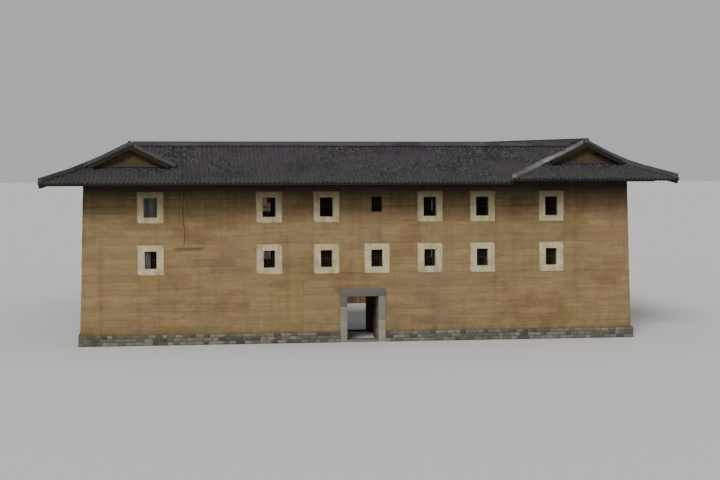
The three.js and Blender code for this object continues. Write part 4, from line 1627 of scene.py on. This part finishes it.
def makeRoomWall(name):
    wing, work = wings[name], roomWork
    face, core, half = wing["roomFace"], wing["roomBack"], wing["roomEnd"]
    thick, jamb, doorHalf = house["roomWall"], work["frame"], work["doorWidth"] / 2
    top = float(roofUnder(wing["innerEave"] - face, wing["lift"])) - 0.01
    doors = (-2 * wing["bay"], 2 * wing["bay"]) if wing["long"] else (-wing["bay"], wing["bay"])
    dice = random.Random(work["seed"] + wing["turns"])
    leaf = makeDoor()
    parts = []
    for i, low in enumerate((0, *house["floors"])):
        high = (*house["floors"], top + work["beam"])[i] - work["beam"]
        door = work["doorHigh"] + work["sill"]
        openings = [(u - doorHalf, u + doorHalf, work["sill"], door) for u in doors]
        for start, _, sill, _ in openings:
            swing = -math.radians(dice.uniform(*work["swing"]))
            parts.append(copyOf(leaf, (start + 0.01, core, low + sill + 0.01), swing))
        if name == "front" and i == 0:
            openings.insert(1, work["passage"])
        edges = [-half, *(x for opening in openings for x in opening[:2]), half]
        walls = [(start, end, low) for start, end in zip(edges[::2], edges[1::2])]
        walls += [(start, end, low + head) for start, end, _, head in openings]
        seed = work["seed"] + 10 * i + 100 * wing["turns"]
        for k, (start, end, bottom) in enumerate(walls):
            plank = work["plank"]
            parts.append(plankRow("wallPlanks", start, end, bottom, high, core, thick, plank, seed + k))
        for start, end, sill, head in openings:
            for left, right, bottom, over in (
                (start - jamb, start, low, low + head + jamb),
                (end, end + jamb, low, low + head + jamb),
                (start, end, low + head, low + head + jamb),
                (start, end, low, low + sill),
            ):
                a, b = (left, core - 0.01, bottom), (right, face + 0.035, over)
                parts.append(addBlock("doorFrame", a, b, 0.008, dice.random()))
        a, b = (-half, face, high - work["rail"]), (half, face + 0.03, high)
        parts.append(addBlock("rail", a, b, 0.008, 0.4))
    post = addBlock("wallPost", (-0.07, face - 0.01, 0), (0.07, face + 0.045, top), 0.012)
    spots = [u for u in wing["posts"] if abs(u) < half - 0.1]
    parts.append(spread(post, spots, [dice.random() for _ in spots]))
    bpy.data.objects.remove(leaf)
    finishPiece(f"{name}_room_planks", parts, roomFir, "timber", f"{name}_room_wall", wing=name)


# Floors of the rooms: boards on joists, all round the house

floorWork = {
    "board": 0.25,
    "boardThick": 0.04,
    "gap": 0.005,
    "joistWide": 0.12,
    "joistDrop": 0,
    "joistEvery": 0.6,
    "joistInset": 0.06,
}


def makeFloors():
    for i, node in enumerate(("second_floor", "third_floor")):
        low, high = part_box(node)
        parts = []
        for name, wing in wings.items():
            outside, inside = house["wallThickness"] - wing["across"], wing["roomBack"]
            dice = np.random.default_rng(i + 4 * wing["turns"])
            deck = layDeck(floorWork, wing["floorEnd"], outside, inside, inside, high.z, low.z, dice)
            parts.append(turnToWing(joinAs("floor", deck), name))
        finishPiece(node + "_boards", parts, floorFir, "timber", node)


for name in wings:
    makeGallery(name)
    makeRoomWall(name)
makeFloors()
print("court framed")

# The camera stands where the photo was taken from, on a longer lens, and a pale floor lies under the house

view = {
    "place": (-12, -96, 10.7),
    "aim": (0.3, -10, 5.6),
    "lens": 74,
    "floor": "#d9d8d5",
    "sky": ("#eef1f5", 0.55),
    "sun": 2.4,
    "sunSoft": 20,              # a wide sun, as through a studio's soft box
    "sunTurn": (53, 0, -24),
}


def setCamera():
    camera = bpy.data.objects.new("camera", bpy.data.cameras.new("camera"))
    bpy.context.collection.objects.link(camera)
    camera.location = view["place"]
    camera.rotation_euler = (Vector(view["aim"]) - Vector(view["place"])).to_track_quat("-Z", "Y").to_euler()
    camera.data.lens = view["lens"]
    camera.data.sensor_width = 36
    camera.data.clip_end = 2000
    bpy.context.scene.camera = camera


def setStage():
    pick()
    bpy.ops.mesh.primitive_plane_add(size=900, location=(0, 0, -0.002))
    floor = bpy.context.object
    floor.name = "floor"
    pale = newMaterial("paleFloor", 0.9)[0]
    pale.node_tree.nodes["Principled BSDF"].inputs["Base Color"].default_value = linearColor(view["floor"])
    floor.data.materials.append(pale)


def setLights():
    world = bpy.data.worlds.new("studio")
    bpy.context.scene.world = world
    world.use_nodes = True
    background = world.node_tree.nodes["Background"]
    background.inputs[0].default_value = linearColor(view["sky"][0])
    background.inputs[1].default_value = view["sky"][1]
    sun = bpy.data.objects.new("sun", bpy.data.lights.new("sun", "SUN"))
    bpy.context.collection.objects.link(sun)
    sun.data.energy = view["sun"]
    sun.data.angle = math.radians(view["sunSoft"])
    sun.rotation_euler = [math.radians(angle) for angle in view["sunTurn"]]


setCamera()
setStage()
setLights()
